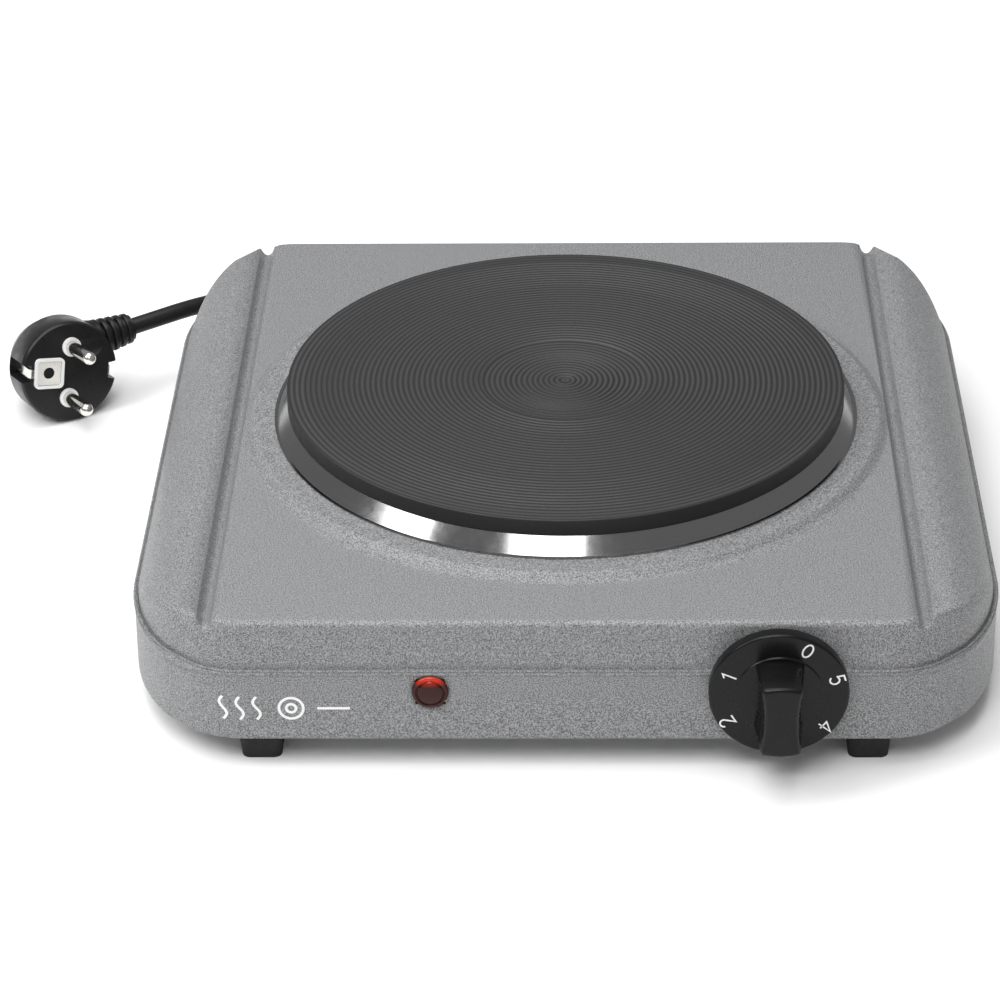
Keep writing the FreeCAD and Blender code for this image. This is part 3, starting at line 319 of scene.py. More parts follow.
# ---------------------------------------------------------------- materials
class Shader:
    """One material with a small set of nodes, all read in the object's own coordinates."""

    def __init__(self, name, shade, rough, metal=0.0, coat=0.0, shine=0.5):
        self.material = bpy.data.materials.new(name)
        self.material.use_nodes = True
        self.material.diffuse_color = (*shade, 1)
        self.nodes = self.material.node_tree.nodes
        self.links = self.material.node_tree.links
        self.surface = self.nodes["Principled BSDF"]
        self.surface.inputs["Base Color"].default_value = (*shade, 1)
        self.surface.inputs["Roughness"].default_value = rough
        self.surface.inputs["Metallic"].default_value = metal
        self.surface.inputs["Coat Weight"].default_value = coat
        self.surface.inputs["Specular IOR Level"].default_value = shine
        self.place = self.nodes.new("ShaderNodeTexCoord").outputs["Object"]
        self.shade = shade
        self.rough = rough
        self.normal = None

    def noise(self, grain, detail=2.0):
        """Noise whose lumps are grain metres wide."""
        node = self.nodes.new("ShaderNodeTexNoise")
        node.inputs["Scale"].default_value = 1 / grain
        node.inputs["Detail"].default_value = detail
        self.links.new(self.place, node.inputs["Vector"])
        return node.outputs["Fac"]

    def cells(self, grain):
        """Distance to the nearest of many points that are grain metres apart."""
        node = self.nodes.new("ShaderNodeTexVoronoi")
        node.inputs["Scale"].default_value = 1 / grain
        self.links.new(self.place, node.inputs["Vector"])
        return node.outputs["Distance"]

    def reach(self):
        """Distance from the upright axis."""
        flat = self.nodes.new("ShaderNodeVectorMath")
        flat.operation = "MULTIPLY"
        flat.inputs[1].default_value = (1, 1, 0)
        self.links.new(self.place, flat.inputs[0])
        length = self.nodes.new("ShaderNodeVectorMath")
        length.operation = "LENGTH"
        self.links.new(flat.outputs["Vector"], length.inputs[0])
        return length.outputs["Value"]

    def level(self):
        """Height above the floor."""
        node = self.nodes.new("ShaderNodeSeparateXYZ")
        self.links.new(self.place, node.inputs["Vector"])
        return node.outputs["Z"]

    def lathe(self, grain):
        """Noise that depends only on the distance from the upright axis."""
        node = self.nodes.new("ShaderNodeTexNoise")
        node.noise_dimensions = "1D"
        node.inputs["Scale"].default_value = 1 / grain
        self.links.new(self.reach(), node.inputs["W"])
        return node.outputs["Fac"]

    def rings(self, pitch):
        """0 to 1 and back within each pitch of the distance from the upright axis."""
        node = self.nodes.new("ShaderNodeMath")
        node.operation = "PINGPONG"
        node.inputs[1].default_value = pitch / 2
        self.links.new(self.reach(), node.inputs[0])
        scale = self.nodes.new("ShaderNodeMath")
        scale.operation = "MULTIPLY"
        scale.inputs[1].default_value = 2 / pitch
        self.links.new(node.outputs["Value"], scale.inputs[0])
        return scale.outputs["Value"]

    def tint(self, value, low, high, start=0.3, end=0.7):
        """The colour runs from low to high times itself as the value runs from start to end."""
        ramp = self.nodes.new("ShaderNodeMapRange")
        ramp.inputs["From Min"].default_value = start
        ramp.inputs["From Max"].default_value = end
        ramp.inputs["To Min"].default_value = low
        ramp.inputs["To Max"].default_value = high
        self.links.new(value, ramp.inputs["Value"])
        scale = self.nodes.new("ShaderNodeVectorMath")
        scale.operation = "SCALE"
        socket = self.surface.inputs["Base Color"]
        if socket.is_linked:
            self.links.new(socket.links[0].from_socket, scale.inputs[0])
        else:
            scale.inputs[0].default_value = self.shade
        self.links.new(ramp.outputs["Result"], scale.inputs["Scale"])
        self.links.new(scale.outputs["Vector"], socket)
        return self

    def gloss(self, value, spread):
        """Roughness goes up and down by spread with the value."""
        ramp = self.nodes.new("ShaderNodeMapRange")
        ramp.inputs["From Min"].default_value = 0.3
        ramp.inputs["From Max"].default_value = 0.7
        ramp.inputs["To Min"].default_value = max(0.02, self.rough - spread)
        ramp.inputs["To Max"].default_value = min(1.0, self.rough + spread)
        self.links.new(value, ramp.inputs["Value"])
        self.links.new(ramp.outputs["Result"], self.surface.inputs["Roughness"])
        return self

    def bump(self, value, depth, strength=1.0):
        """The value raises the surface by up to depth metres."""
        node = self.nodes.new("ShaderNodeBump")
        node.inputs["Distance"].default_value = depth
        node.inputs["Strength"].default_value = strength
        self.links.new(value, node.inputs["Height"])
        if self.normal is not None:
            self.links.new(self.normal, node.inputs["Normal"])
        self.normal = node.outputs["Normal"]
        self.links.new(self.normal, self.surface.inputs["Normal"])
        return self


def paint_finish(shade):
    """Grey enamel with fine dark and light grains."""
    s = Shader("grey_enamel", shade, 0.46)
    grain = s.noise(0.00038, 1.0)
    s.tint(grain, 0.46, 1.62, 0.36, 0.64).tint(s.cells(0.0008), 0.68, 1.10, 0.10, 0.40)
    s.gloss(s.noise(0.0006), 0.08).bump(grain, 0.00014, 0.6).bump(s.noise(0.004), 0.00004, 0.6)
    return s.material


def iron_finish(shade):
    """Turned cast iron with a dark heat-proof coat, its turned rings given painted shade and highlight."""
    s = Shader("plate_iron", shade, 0.50, shine=0.35)
    # Painted shade and highlight: the colour runs darker and lighter across each turned ring, by the distance
    # from the axis.
    rings = s.rings(bpy.context.scene.hotplate_plate.pitch)
    s.tint(rings, 0.50, 1.85, 0.1, 0.9).tint(s.noise(0.0005), 0.88, 1.12).gloss(s.noise(0.006), 0.05)
    s.tint(s.reach(), 1.0, 0.4, plate_high.x - 0.0005, plate_high.x - 0.0001)
    s.bump(s.lathe(0.0004), 0.00001, 0.4).bump(s.noise(0.0004), 0.00003, 0.5)
    return s.material


def rubber_finish(name, shade, rough=0.55, grain=0.0006):
    s = Shader(name, shade, rough, shine=0.3)
    s.tint(s.noise(grain), 0.75, 1.3).gloss(s.noise(0.003), 0.07).bump(s.noise(grain), 0.00003, 0.7)
    return s.material


def plastic_finish(name, shade, rough=0.35, grain=0.0005, shine=0.5):
    s = Shader(name, shade, rough, shine=shine)
    s.tint(s.noise(grain), 0.94, 1.06).gloss(s.noise(0.002), 0.04).bump(s.noise(grain), 0.000004, 0.4)
    return s.material


def metal_finish(name, shade, rough=0.25, grain=0.0008):
    s = Shader(name, shade, rough, metal=1.0)
    s.tint(s.noise(grain), 0.92, 1.05).gloss(s.noise(0.0015), 0.06).bump(s.noise(grain), 0.00001, 0.5)
    return s.material


def ring_finish():
    s = Shader("ring_steel", (0.30, 0.30, 0.30), 0.13, metal=1.0)
    s.tint(s.lathe(0.0003), 0.94, 1.04).gloss(s.noise(0.003), 0.02)
    return s.material


def ceramic_finish(name, shade):
    s = Shader(name, shade, 0.6)
    s.tint(s.noise(0.0008), 0.92, 1.06).bump(s.noise(0.0006), 0.00004, 0.8)
    return s.material


def lens_painted_highlight_finish(name, shade, middle):
    """Deep red glass, darker below, with a painted highlight along its top."""
    s = Shader(name, shade, 0.10, coat=0.1, shine=0.2)
    # Painted highlight: the colour grows up to three times lighter towards the top of the lens and is darker
    # below.
    s.tint(s.level(), 0.18, 3.0, middle + 0.0024, middle + 0.0046).tint(s.noise(0.0012), 0.85, 1.15)
    s.gloss(s.noise(0.001), 0.03).bump(s.noise(0.0008), 0.00001, 0.4)
    return s.material


def clear_finish(name, shade, rough=0.08, through=0.9):
    s = Shader(name, shade, rough)
    s.surface.inputs["Transmission Weight"].default_value = through
    s.surface.inputs["IOR"].default_value = 1.5
    s.gloss(s.noise(0.001), 0.03).bump(s.noise(0.0008), 0.00001, 0.4)
    return s.material


def finishes():
    """One finish for each material slot of the record."""
    settings = bpy.context.scene
    made = {
        "grey_enamel": paint_finish(tuple(settings.hotplate_housing.paint)),
        "plate_iron": iron_finish(tuple(settings.hotplate_plate.iron)),
        "ring_steel": ring_finish(),
        "foot_rubber": rubber_finish("foot_rubber", (0.012, 0.012, 0.012), 0.6),
        "cord_black": rubber_finish("cord_black", tuple(settings.hotplate_cord.shade), 0.42),
        "plug_black": rubber_finish("plug_black", (0.008, 0.008, 0.0085), 0.34, 0.0004),
        "knob_black": plastic_finish("knob_black", tuple(settings.hotplate_knob.plastic), 0.24, shine=0.2),
        "lamp_housing": plastic_finish("lamp_housing", (0.72, 0.70, 0.66)),
        "terminal_white": plastic_finish("terminal_white", (0.75, 0.74, 0.70)),
        "collar_white": plastic_finish("collar_white", tuple(settings.hotplate_mark.print_colour), 0.4),
        "lead_white": plastic_finish("lead_white", (0.7, 0.7, 0.68)),
        "live_brown": plastic_finish("live_brown", (0.13, 0.05, 0.02)),
        "neutral_blue": plastic_finish("neutral_blue", (0.03, 0.10, 0.45)),
        "earth_green": plastic_finish("earth_green", (0.22, 0.42, 0.04)),
        "switched_black": plastic_finish("switched_black", (0.02, 0.02, 0.02)),
        "resistor": plastic_finish("resistor", (0.45, 0.32, 0.18)),
        "magnesia": ceramic_finish("magnesia", (0.62, 0.60, 0.55)),
        "steatite": ceramic_finish("steatite", (0.80, 0.77, 0.70)),
        "pan_steel": metal_finish("pan_steel", (0.52, 0.52, 0.53), 0.38),
        "zinc_steel": metal_finish("zinc_steel", (0.62, 0.62, 0.60), 0.32),
        "coil_wire": metal_finish("coil_wire", (0.30, 0.28, 0.27), 0.5),
        "thermo_metal": metal_finish("thermo_metal", (0.66, 0.63, 0.55), 0.3),
        "brass": metal_finish("brass", (0.75, 0.55, 0.24), 0.28),
        "silver": metal_finish("silver", (0.86, 0.85, 0.82), 0.2),
        "pin_nickel": metal_finish("pin_nickel", (0.74, 0.72, 0.68), 0.16),
        "lamp_red": lens_painted_highlight_finish("lamp_red", tuple(settings.hotplate_lamp.red), lamp_z),
        "neon": clear_finish("neon", (0.95, 0.80, 0.70)),
    }
    return made


_finishes = {}


def finish_of(slot):
    if not _finishes:
        _finishes.update(finishes())
    if slot not in _finishes:
        raise KeyError(f"no finish for the slot {slot}")
    return _finishes[slot]


def give(piece, slot):
    piece.data.materials.clear()
    piece.data.materials.append(finish_of(slot))


# ---------------------------------------------------------------- stage
def build_stage():
    s = bpy.context.scene.hotplate_stage
    target = Vector(s.target)
    az, el, ro = s.azimuth, s.elevation, s.roll
    back = Vector((math.sin(az) * math.cos(el), -math.cos(az) * math.cos(el), math.sin(el)))
    right = Vector((math.cos(az), math.sin(az), 0))
    up = back.cross(right)
    side = math.cos(ro) * right + math.sin(ro) * up
    top = -math.sin(ro) * right + math.cos(ro) * up
    data = bpy.data.cameras.new("camera")
    data.lens = s.lens
    data.sensor_width = 36
    data.clip_end = 50
    data.dof.use_dof = False
    camera = bpy.data.objects.new("camera", data)
    camera.matrix_world = Matrix.Translation(target + back * s.distance) @ Matrix(
        (side, top, back)).transposed().to_4x4()
    bpy.context.scene.collection.objects.link(camera)
    bpy.context.scene.camera = camera

    reach, thick = 4.0, 0.02
    corners = np.array([(-reach, -reach, 0), (reach, -reach, 0), (reach, reach, 0), (-reach, reach, 0)])
    low = corners - (0, 0, thick)
    faces = [[0, 1, 2, 3], [7, 6, 5, 4], [0, 4, 5, 1], [1, 5, 6, 2], [2, 6, 7, 3], [3, 7, 4, 0]]
    floor = make_piece("floor", [(np.vstack([corners, low]), faces)], (0, 0, -thick / 2))
    shader = Shader("floor_paint", tuple(s.floor_colour), 0.8)
    shader.tint(shader.noise(0.4), 0.99, 1.01)
    floor.data.shade_flat()
    floor.data.materials.append(shader.material)

    lights = [
        ("soft_box", (-0.25, 0.10, 1.45), 1.4, s.key_power),
        ("left_box", (-0.95, -0.35, 0.95), 0.5, s.side_power),
        ("front_box", (-0.12, -0.85, 1.10), 0.55, s.fill_power),
    ]
    for name, place, width, power in lights:
        lamp = bpy.data.lights.new(name, "AREA")
        lamp.shape = "SQUARE"
        lamp.size = width
        lamp.energy = power
        holder = bpy.data.objects.new(name, lamp)
        away = (Vector(place) - target).to_track_quat("Z", "Y")
        holder.matrix_world = Matrix.Translation(place) @ away.to_matrix().to_4x4()
        bpy.context.scene.collection.objects.link(holder)

    world = bpy.data.worlds.new("surroundings")
    world.use_nodes = True
    world.node_tree.nodes["Background"].inputs["Color"].default_value = (1, 1, 1, 1)
    world.node_tree.nodes["Background"].inputs["Strength"].default_value = s.sky
    bpy.context.scene.world = world
    bpy.context.scene.view_settings.view_transform = "Standard"


# ---------------------------------------------------------------- mains cord
# The route is given outside the tied bundle, in metres: steps from the end of the bush, from the middle of
# the bundle, and from the back left corner of the housing.
bush_low, bush_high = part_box("cord_bush")
bush_end = ((bush_low.x + bush_high.x) / 2, bush_high.y, (bush_low.z + bush_high.z) / 2)
hank_middle = (-half_x + 0.1145, bush_high.y + 0.019, 0)
corner = (-half_x, half_y, 0)
bush_steps = [(0, 0, 0), (0, 0.011, 0), (-0.003, 0.0216, -0.0012), (-0.0088, 0.0308, -0.0038),
              (-0.0166, 0.0378, -0.0074), (-0.0259, 0.0424, -0.0116)]
hank_steps = [(0.0656, 0.0258, 0.0064), (0.0542, 0.0262, 0.0031), (0.0435, 0.0262, 0.0031)]
leave_steps = [(-0.0435, 0.0262, 0.0093), (-0.056, 0.0262, 0.0093)]
corner_steps = [(0.0461, 0.062, 0.0084), (0.0359, 0.0536, 0.0082), (0.0283, 0.0418, 0.0096),
                (0.0217, 0.0284, 0.0132), (0.0145, 0.0148, 0.018), (0.0067, 0.0018, 0.0228),
                (-0.0021, -0.0092, 0.0258), (-0.0123, -0.018, 0.0264), (-0.0229, -0.0246, 0.0257)]


def route_from(start, steps):
    return [tuple(a + b for a, b in zip(start, step)) for step in steps]


route_to_hank = route_from(bush_end, bush_steps) + route_from(hank_middle, hank_steps)
route_to_plug = route_from(hank_middle, leave_steps) + route_from(corner, corner_steps)
hank_x, hank_y, _ = hank_middle


def eased(value, start, end):
    """0 before start, 1 after end, (1 - cos)/2 between."""
    t = min(1.0, max(0.0, (value - start) / (end - start)))
    return (1 - math.cos(math.pi * t)) / 2


def hank_points(s):
    """Three long turns: lower outer, lower inner and upper, which starts inner and ends outer.
    A half turn is (end + w cos a, middle + w sin a) with a half width w that may change on the way."""
    thick = s.diameter
    low, high = thick / 2, 1.5 * thick
    inner, outer = s.fold, s.fold + thick
    x0, x1 = hank_x - s.run / 2, hank_x + s.run / 2
    points = []
    for turn in range(3):
        left = (outer, inner, inner)[turn]
        level = (low, low, high)[turn]
        for t in (0.0, 0.5, 1.0):
            points.append((x1 + t * (x0 - x1), hank_y + left, level))
        for a in np.linspace(90, 270, s.steps + 1)[1:-1]:
            points.append((x0 + left * math.cos(math.radians(a)),
                           hank_y + left * math.sin(math.radians(a)), level))
        for t in np.linspace(0, 1, 6):
            spread = thick * eased(t, 0, 1) if turn == 2 else 0
            points.append((x0 + t * (x1 - x0), hank_y - left - spread, level))
        for a in np.linspace(-90, 90, s.steps + 1)[1:-1]:
            width = (outer - thick * eased(a, -30, 80), inner, outer)[turn]
            height = (low, low + thick * eased(a, -90, 60), high)[turn]
            points.append((x1 + width * math.cos(math.radians(a)),
                           hank_y + width * math.sin(math.radians(a)), height))
    for t in (0.0, 0.5, 1.0):
        points.append((x1 + t * (x0 - x1), hank_y + outer, high))
    return points


def build_cord():
    s = bpy.context.scene.hotplate_cord
    places = route_to_hank + hank_points(s) + route_to_plug
    data = bpy.data.curves.new("mains_lead", "CURVE")
    data.dimensions = "3D"
    data.bevel_depth = s.diameter / 2
    data.bevel_resolution = 5
    data.use_fill_caps = True
    data.resolution_u = 6
    spline = data.splines.new("NURBS")
    spline.points.add(len(places) - 1)
    for point, place in zip(spline.points, places):
        point.co = (*place, 1)
    spline.order_u = 3
    spline.use_endpoint_u = True
    lead = bpy.data.objects.new("mains_lead", data)
    bpy.context.scene.collection.objects.link(lead)
    lead.data.materials.append(finish_of("cord_black"))
    follows(lead, "hob", "cord_black", "mains_cord", "cord_hank")
    pieces = [frame["nodes"][n] for n in ("hank_tie", "plug_pins", "pin_collars")]
    pieces += [bpy.data.objects[n] for n in ("plug_shell", "plug_boot", "plug_insert", "plug_insert_floor",
                                             "plug_clips")]
    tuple(route_to_hank[0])


# ---------------------------------------------------------------- housing
class Shell:
    """Shape of the pressed housing. A corner's turn runs from 0 at the front to 90 degrees at the side."""

    def __init__(self, s):
        self.s = s
        self.middle_x = half_x - s.corner_x
        self.middle_y = half_y - s.corner_y
        self.ledge_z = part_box("housing")[1].z - s.emboss - s.crown
        self.deck_z = self.ledge_z + s.crown
        self.arc_start = s.groove_place + s.groove_depth
        self.arc_reach = half_x - s.ledge - self.arc_start
        drop = s.crown - s.step
        self.arc_radius = (self.arc_reach ** 2 + drop ** 2) / (2 * drop)

    def height(self, x, y):
        """Deck height less the channels and the side arc R - sqrt(R^2 - t^2), plus the annulus."""
        s = self.s
        across = np.abs(x)
        t = np.clip((across - s.groove_place) / s.groove_half, -1, 1)
        channel = s.groove_depth * (1 - t * t) ** 0.9
        over = np.clip(across - self.arc_start, 0, self.arc_reach * 1.02)
        side = self.arc_radius - np.sqrt(self.arc_radius ** 2 - over ** 2)
        r = np.clip((s.emboss_outer - np.hypot(x, y)) / (s.emboss_outer - s.emboss_inner), 0, 1)
        raised = s.emboss * (r * r * (3 - 2 * r) * 0.4 + r * 0.6)
        return self.deck_z - channel - side + raised

    def at_corner(self, turn, inset):
        """Point of the plan's corner, (mx + (rx - d) sin a, my + (ry - d) cos a)."""
        return (self.middle_x + (self.s.corner_x - inset) * np.sin(turn),
                self.middle_y + (self.s.corner_y - inset) * np.cos(turn))

    def crown_inset(self, turn):
        return self.s.ledge + self.s.lean * np.cos(turn) ** 2

    def crease_reach(self, turn):
        x, y = self.at_corner(turn, self.crown_inset(turn))
        return np.minimum(self.s.crease * (1 - 0.4 * np.sin(turn)), 0.45 * (self.height(x, y) - self.ledge_z))


def quarter_loop(front_xs, turns, side_ys):
    """One quarter of a line round the plan as (kind, value): front, corner and side."""
    return [("front", x) for x in front_xs] + [("corner", a) for a in turns] + [("side", y) for y in side_ys]


def loop_points(shell, quarter, inset, height):
    """The quarter, mirrored into a closed loop. Inset and height are functions of the turn and place."""
    places = []
    for kind, value in quarter:
        turn = {"front": 0.0, "corner": value, "side": math.pi / 2}[kind]
        d = inset(turn)
        x, y = shell.at_corner(turn, d)
        if kind == "front":
            x = value
        if kind == "side":
            y = value
        places.append((x, y, height(turn, x, y)))
    q = np.array(places)
    front_right = q * (1, -1, 1)
    back_right = q[::-1]
    back_left = q * (-1, 1, 1)
    front_left = q[::-1] * (-1, -1, 1)
    return np.vstack([front_right, back_right[1:], back_left[1:], front_left[1:-1]])


def build_housing():
    s = bpy.context.scene.hotplate_housing
    shell = Shell(s)
    wall_top = shell.ledge_z - 0.0004

    # Square holes behind the knob, the lamp and the cord's bush: middle, side, half width, bottom, top.
    holes = [
        (knob_axis.x, -1, 0.0052, 0.0246, wall_top),
        (lamp_x, -1, 0.0047, 0.0227, 0.0321),
        (0.080, 1, 0.0062, 0.0158, 0.0282),
    ]

    def edge(turn):
        return shell.crown_inset(turn) + shell.crease_reach(turn)

    # Columns of the side panels: close together over the channel, then even turns to the side.
    table = np.linspace(0, math.pi / 2, 400)
    table_x = np.array([shell.at_corner(a, edge(a))[0] for a in table])
    first_x = s.groove_place - s.groove_half
    columns = np.concatenate([np.linspace(first_x, s.groove_place + s.groove_half, 13),
                              np.interp(np.linspace(0.42, 1, 26)[1:] * math.pi / 2, table, table_x)])
    past = columns - s.groove_place - s.groove_half
    columns = np.sort(columns[(past < 1e-9) | (past > 0.0006)])
    turns = np.interp(columns, table_x, table)
    turns[-1] = math.pi / 2
    near = np.linspace(shell.middle_x, first_x, 6)[1:-1]
    near_turns = np.interp(near, table_x, table)

    # Along the front and back the columns meet the edges of the holes.
    straight = np.linspace(0, shell.middle_x, 40)
    marks = [abs(x0) + sign * half for x0, _, half, _, _ in holes for sign in (-1, 1)]
    for mark in marks:
        straight = straight[np.abs(straight - mark) > 0.0011]
    straight = np.sort(np.concatenate([straight, marks]))
    rows = np.linspace(0, 1, 55)
    quarter = quarter_loop(straight, np.concatenate([near_turns, turns]), (shell.middle_y * rows[::-1])[1:])

    # Top: the side panels.
    parts = []
    reach_y = np.array([shell.at_corner(a, edge(a))[1] for a in turns])
    both = np.concatenate([-rows[::-1], rows[1:]])
    x = np.repeat(columns[:, None], len(both), 1)
    y = reach_y[:, None] * both[None, :]
    for sign in (1, -1):
        parts.append((np.stack([sign * x, y, shell.height(x, y)], -1), quads(*x.shape)))

    # Top: the middle, rings that turn from the round opening to the panel's four sides.
    front = np.concatenate([straight, near, [first_x]])
    front_y = np.concatenate([np.full(len(straight), shell.at_corner(0, edge(0))[1]),
                              [shell.at_corner(a, edge(a))[1] for a in near_turns], [reach_y[0]]])
    right = np.column_stack([np.full(len(both), first_x), reach_y[0] * both])
    back = np.column_stack([np.concatenate([front[::-1], -front[1:]]),
                            np.concatenate([front_y[::-1], front_y[1:]])])
    border = np.vstack([right, back[1:], -right[1:], -back[1:-1]])
    heading = np.arctan2(border[:, 1], border[:, 0])
    unit = np.column_stack([np.cos(heading), np.sin(heading)])
    round_end = first_x - 0.0002
    radii = np.concatenate([[s.opening, s.opening + 0.004, s.opening + 0.009],
                            np.linspace(s.emboss_inner - 0.0008, round_end, 12)])
    rings = [unit * r for r in radii]
    for t in np.linspace(0, 1, 14)[1:]:
        rings.append(unit * round_end * (1 - t) + border * t)
    rings = np.array(rings)
    z = shell.height(rings[..., 0], rings[..., 1])
    parts.append((np.concatenate([rings, z[..., None]], -1), quads(*rings.shape[:2], wrap=True)))

    # Skirt: crease, leaning face, ledge, wall and its rolled foot, one loop under another.
    def apex(turn, x, y):
        ax, ay = shell.at_corner(turn, shell.crown_inset(turn))
        return shell.height(x if turn == 0 else ax, y if turn == math.pi / 2 else ay)

    loops = []
    for t in np.linspace(0, 1, 7):
        def inset(a, t=t):
            return shell.crown_inset(a) + (1 - t) ** 2 * shell.crease_reach(a)

        def level(a, x, y, t=t):
            full = apex(a, x, y)
            start = shell.height(x, y) if t < 1 else full
            drop = max(1e-6, full - shell.ledge_z)
            turn_down = t * t * shell.crease_reach(a) / drop * (full - shell.ledge_z)
            return (1 - t) ** 2 * start + (1 - (1 - t) ** 2) * full - turn_down

        loops.append(loop_points(shell, quarter, inset, level))
    for down in (0.5, 0.75, 0.93):
        def leaning(a, down=down):
            return shell.crown_inset(a) * (1 - down) + s.ledge * down

        def lower(a, x, y, down=down):
            full = apex(a, x, y)
            share = min(1.0, shell.crease_reach(a) / max(1e-6, full - shell.ledge_z))
            d = max(down, share + (1 - share) * down)
            return full * (1 - d) + shell.ledge_z * d

        loops.append(loop_points(shell, quarter, leaning, lower))
    rim = 0.0002
    seam = 0.0013
    steps = [
        (s.ledge - 0.00005, seam, 1), (s.ledge - 0.0007, seam, 1), (s.ledge - 0.0009, 0.0001, 0),
        (s.draft + rim, 0.00005, 0), (s.draft + rim * 0.4, 0.00015, 0), (s.draft + rim * 0.1, 0.0003, 0),
    ]
    for d, drop, more in steps:
        def seam_level(a, x, y, drop=drop, more=more):
            return shell.ledge_z - drop * (1 + 2 * more * math.sin(2 * a) ** 2)

        loops.append(loop_points(shell, quarter, lambda a, d=d: d, seam_level))
    wall_rows = {wall_top, 0.0288, 0.019, 0.013, wall_low + 0.0004}
    wall_rows |= {z0 for hole in holes for z0 in hole[3:]}
    for z0 in sorted(wall_rows, reverse=True):
        d = s.draft * (z0 - wall_low) / (shell.ledge_z - wall_low)
        loops.append(loop_points(shell, quarter, lambda a, d=d: d, lambda a, x, y, z0=z0: z0))
    for d, z0 in ((0.0001, wall_low + 0.00012), (0.0004, wall_low)):
        loops.append(loop_points(shell, quarter, lambda a, d=d: d, lambda a, x, y, z0=z0: z0))
    grid = np.array(loops)
    faces = quads(*grid.shape[:2], wrap=True)

    # The faces inside the holes go.
    centre = grid.reshape(-1, 3)[faces].mean(1)
    keep = np.ones(len(faces), bool)
    for x0, side, half, low, high in holes:
        inside = (np.abs(centre[:, 0] - x0) < half) & (centre[:, 1] * side > half_y - 0.002)
        keep &= ~(inside & (centre[:, 2] > low) & (centre[:, 2] < high))
    parts.append((grid, faces[keep]))

    piece = make_piece("housing_shell", parts, (0, 0, wall_low))
    solid = piece.modifiers.new("sheet", "SOLIDIFY")
    solid.thickness = s.sheet
    solid.offset = -1
    give(piece, "grey_enamel")
    follows(piece, "hob", "grey_enamel", "housing")


# ---------------------------------------------------------------- plate and ring
def build_plate():
    s = bpy.context.scene.hotplate_plate
    radius, top, low = plate_high.x, plate_high.z, plate_low.z
    under = top - s.rim
    edge, channel = 0.0006, 0.007
    profile = [(0, top - s.recess_depth)]
    for start, end, level in ((0.002, s.recess - 0.0006, top - s.recess_depth),
                              (s.recess + 0.0004, radius - s.band, top)):
        r = np.linspace(start, end, int(round((end - start) / s.pitch)) * 7 + 1)
        wave = np.abs(np.sin(math.pi * (r - start) / s.pitch)) ** 0.7
        profile += list(zip(r, level - s.depth * (1 - wave)))
    outline = [(radius - s.band, top), (radius, top, edge), (radius, under, edge / 2),
               (s.core, under, edge / 2), (s.core, low, 0.001)]
    for outer, inner in ((0.080, 0.070), (0.062, 0.052)):
        outline += [(outer, low), (outer, low + channel), (inner, low + channel), (inner, low)]
    outline.append((0, low))
    profile = np.vstack([np.array(profile), soften(outline)[1:]])
    piece = make_piece("plate_turned", [turned(profile, 180)], (0, 0, (top + low) / 2))
    give(piece, "plate_iron")
    piece.data.set_sharp_from_angle(angle=math.radians(40))
    follows(piece, "hob", "plate_iron", "iron_plate")


# ---------------------------------------------------------------- knob
def numeral_strokes():
    """Each numeral as lines in a box one unit high about its middle; True closes a line."""
    return {
        0: [(arc(0, 0, 0.27, 0.46, 0, 345, 24), True)],
        1: [([(-0.20, 0.24), (0.04, 0.46), (0.04, -0.46)], False)],
        2: [(arc(0, 0.21, 0.25, 0.25, 165, -35, 12) + [(-0.26, -0.46), (0.28, -0.46)], False)],
        3: [(arc(-0.01, 0.23, 0.24, 0.23, 150, -90, 12)
             + arc(-0.01, -0.23, 0.27, 0.23, 90, -150, 12)[1:], False)],
        4: [([(0.12, -0.46), (0.12, 0.46), (-0.29, -0.18), (0.31, -0.18)], False)],
        5: [([(0.22, 0.46), (-0.17, 0.46), (-0.21, 0.06)]
             + arc(0.0, -0.17, 0.27, 0.29, 125, -145, 14), False)],
    }


def grip_outline(half, ends, waist, bulge=0.0009, steps=13):
    """Waisted bar from the front: sides x = w + (e - w) t^2, ends y = h - b + b (1 - u^2), soft corners."""
    tall = half - bulge
    t = np.linspace(-0.86, 0.86, steps)
    side = np.column_stack([waist + (ends - waist) * t * t, t * tall])
    u = np.linspace(0.78, -0.78, steps)
    top = np.column_stack([ends * u, tall + bulge * (1 - u * u)])
    k = np.linspace(0, 1, 7)[1:-1, None]
    corner = np.array([ends, tall + bulge * 0.3])
    turn = (1 - k) ** 2 * side[-1] + 2 * k * (1 - k) * corner + k * k * top[0]
    half_line = np.vstack([side, turn, top, turn[::-1] * (-1, 1)])
    return np.vstack([half_line, -half_line])


# Each numeral's degrees clockwise from the top, and how far it stands outside the numeral ring.
dial = {0: (27.4, -0.0002), 5: (72.2, 0.0003), 4: (128.2, 0.0004), 3: (184.0, 0.0), 2: (238.0, 0.0003),
        1: (293.5, -0.0014)}


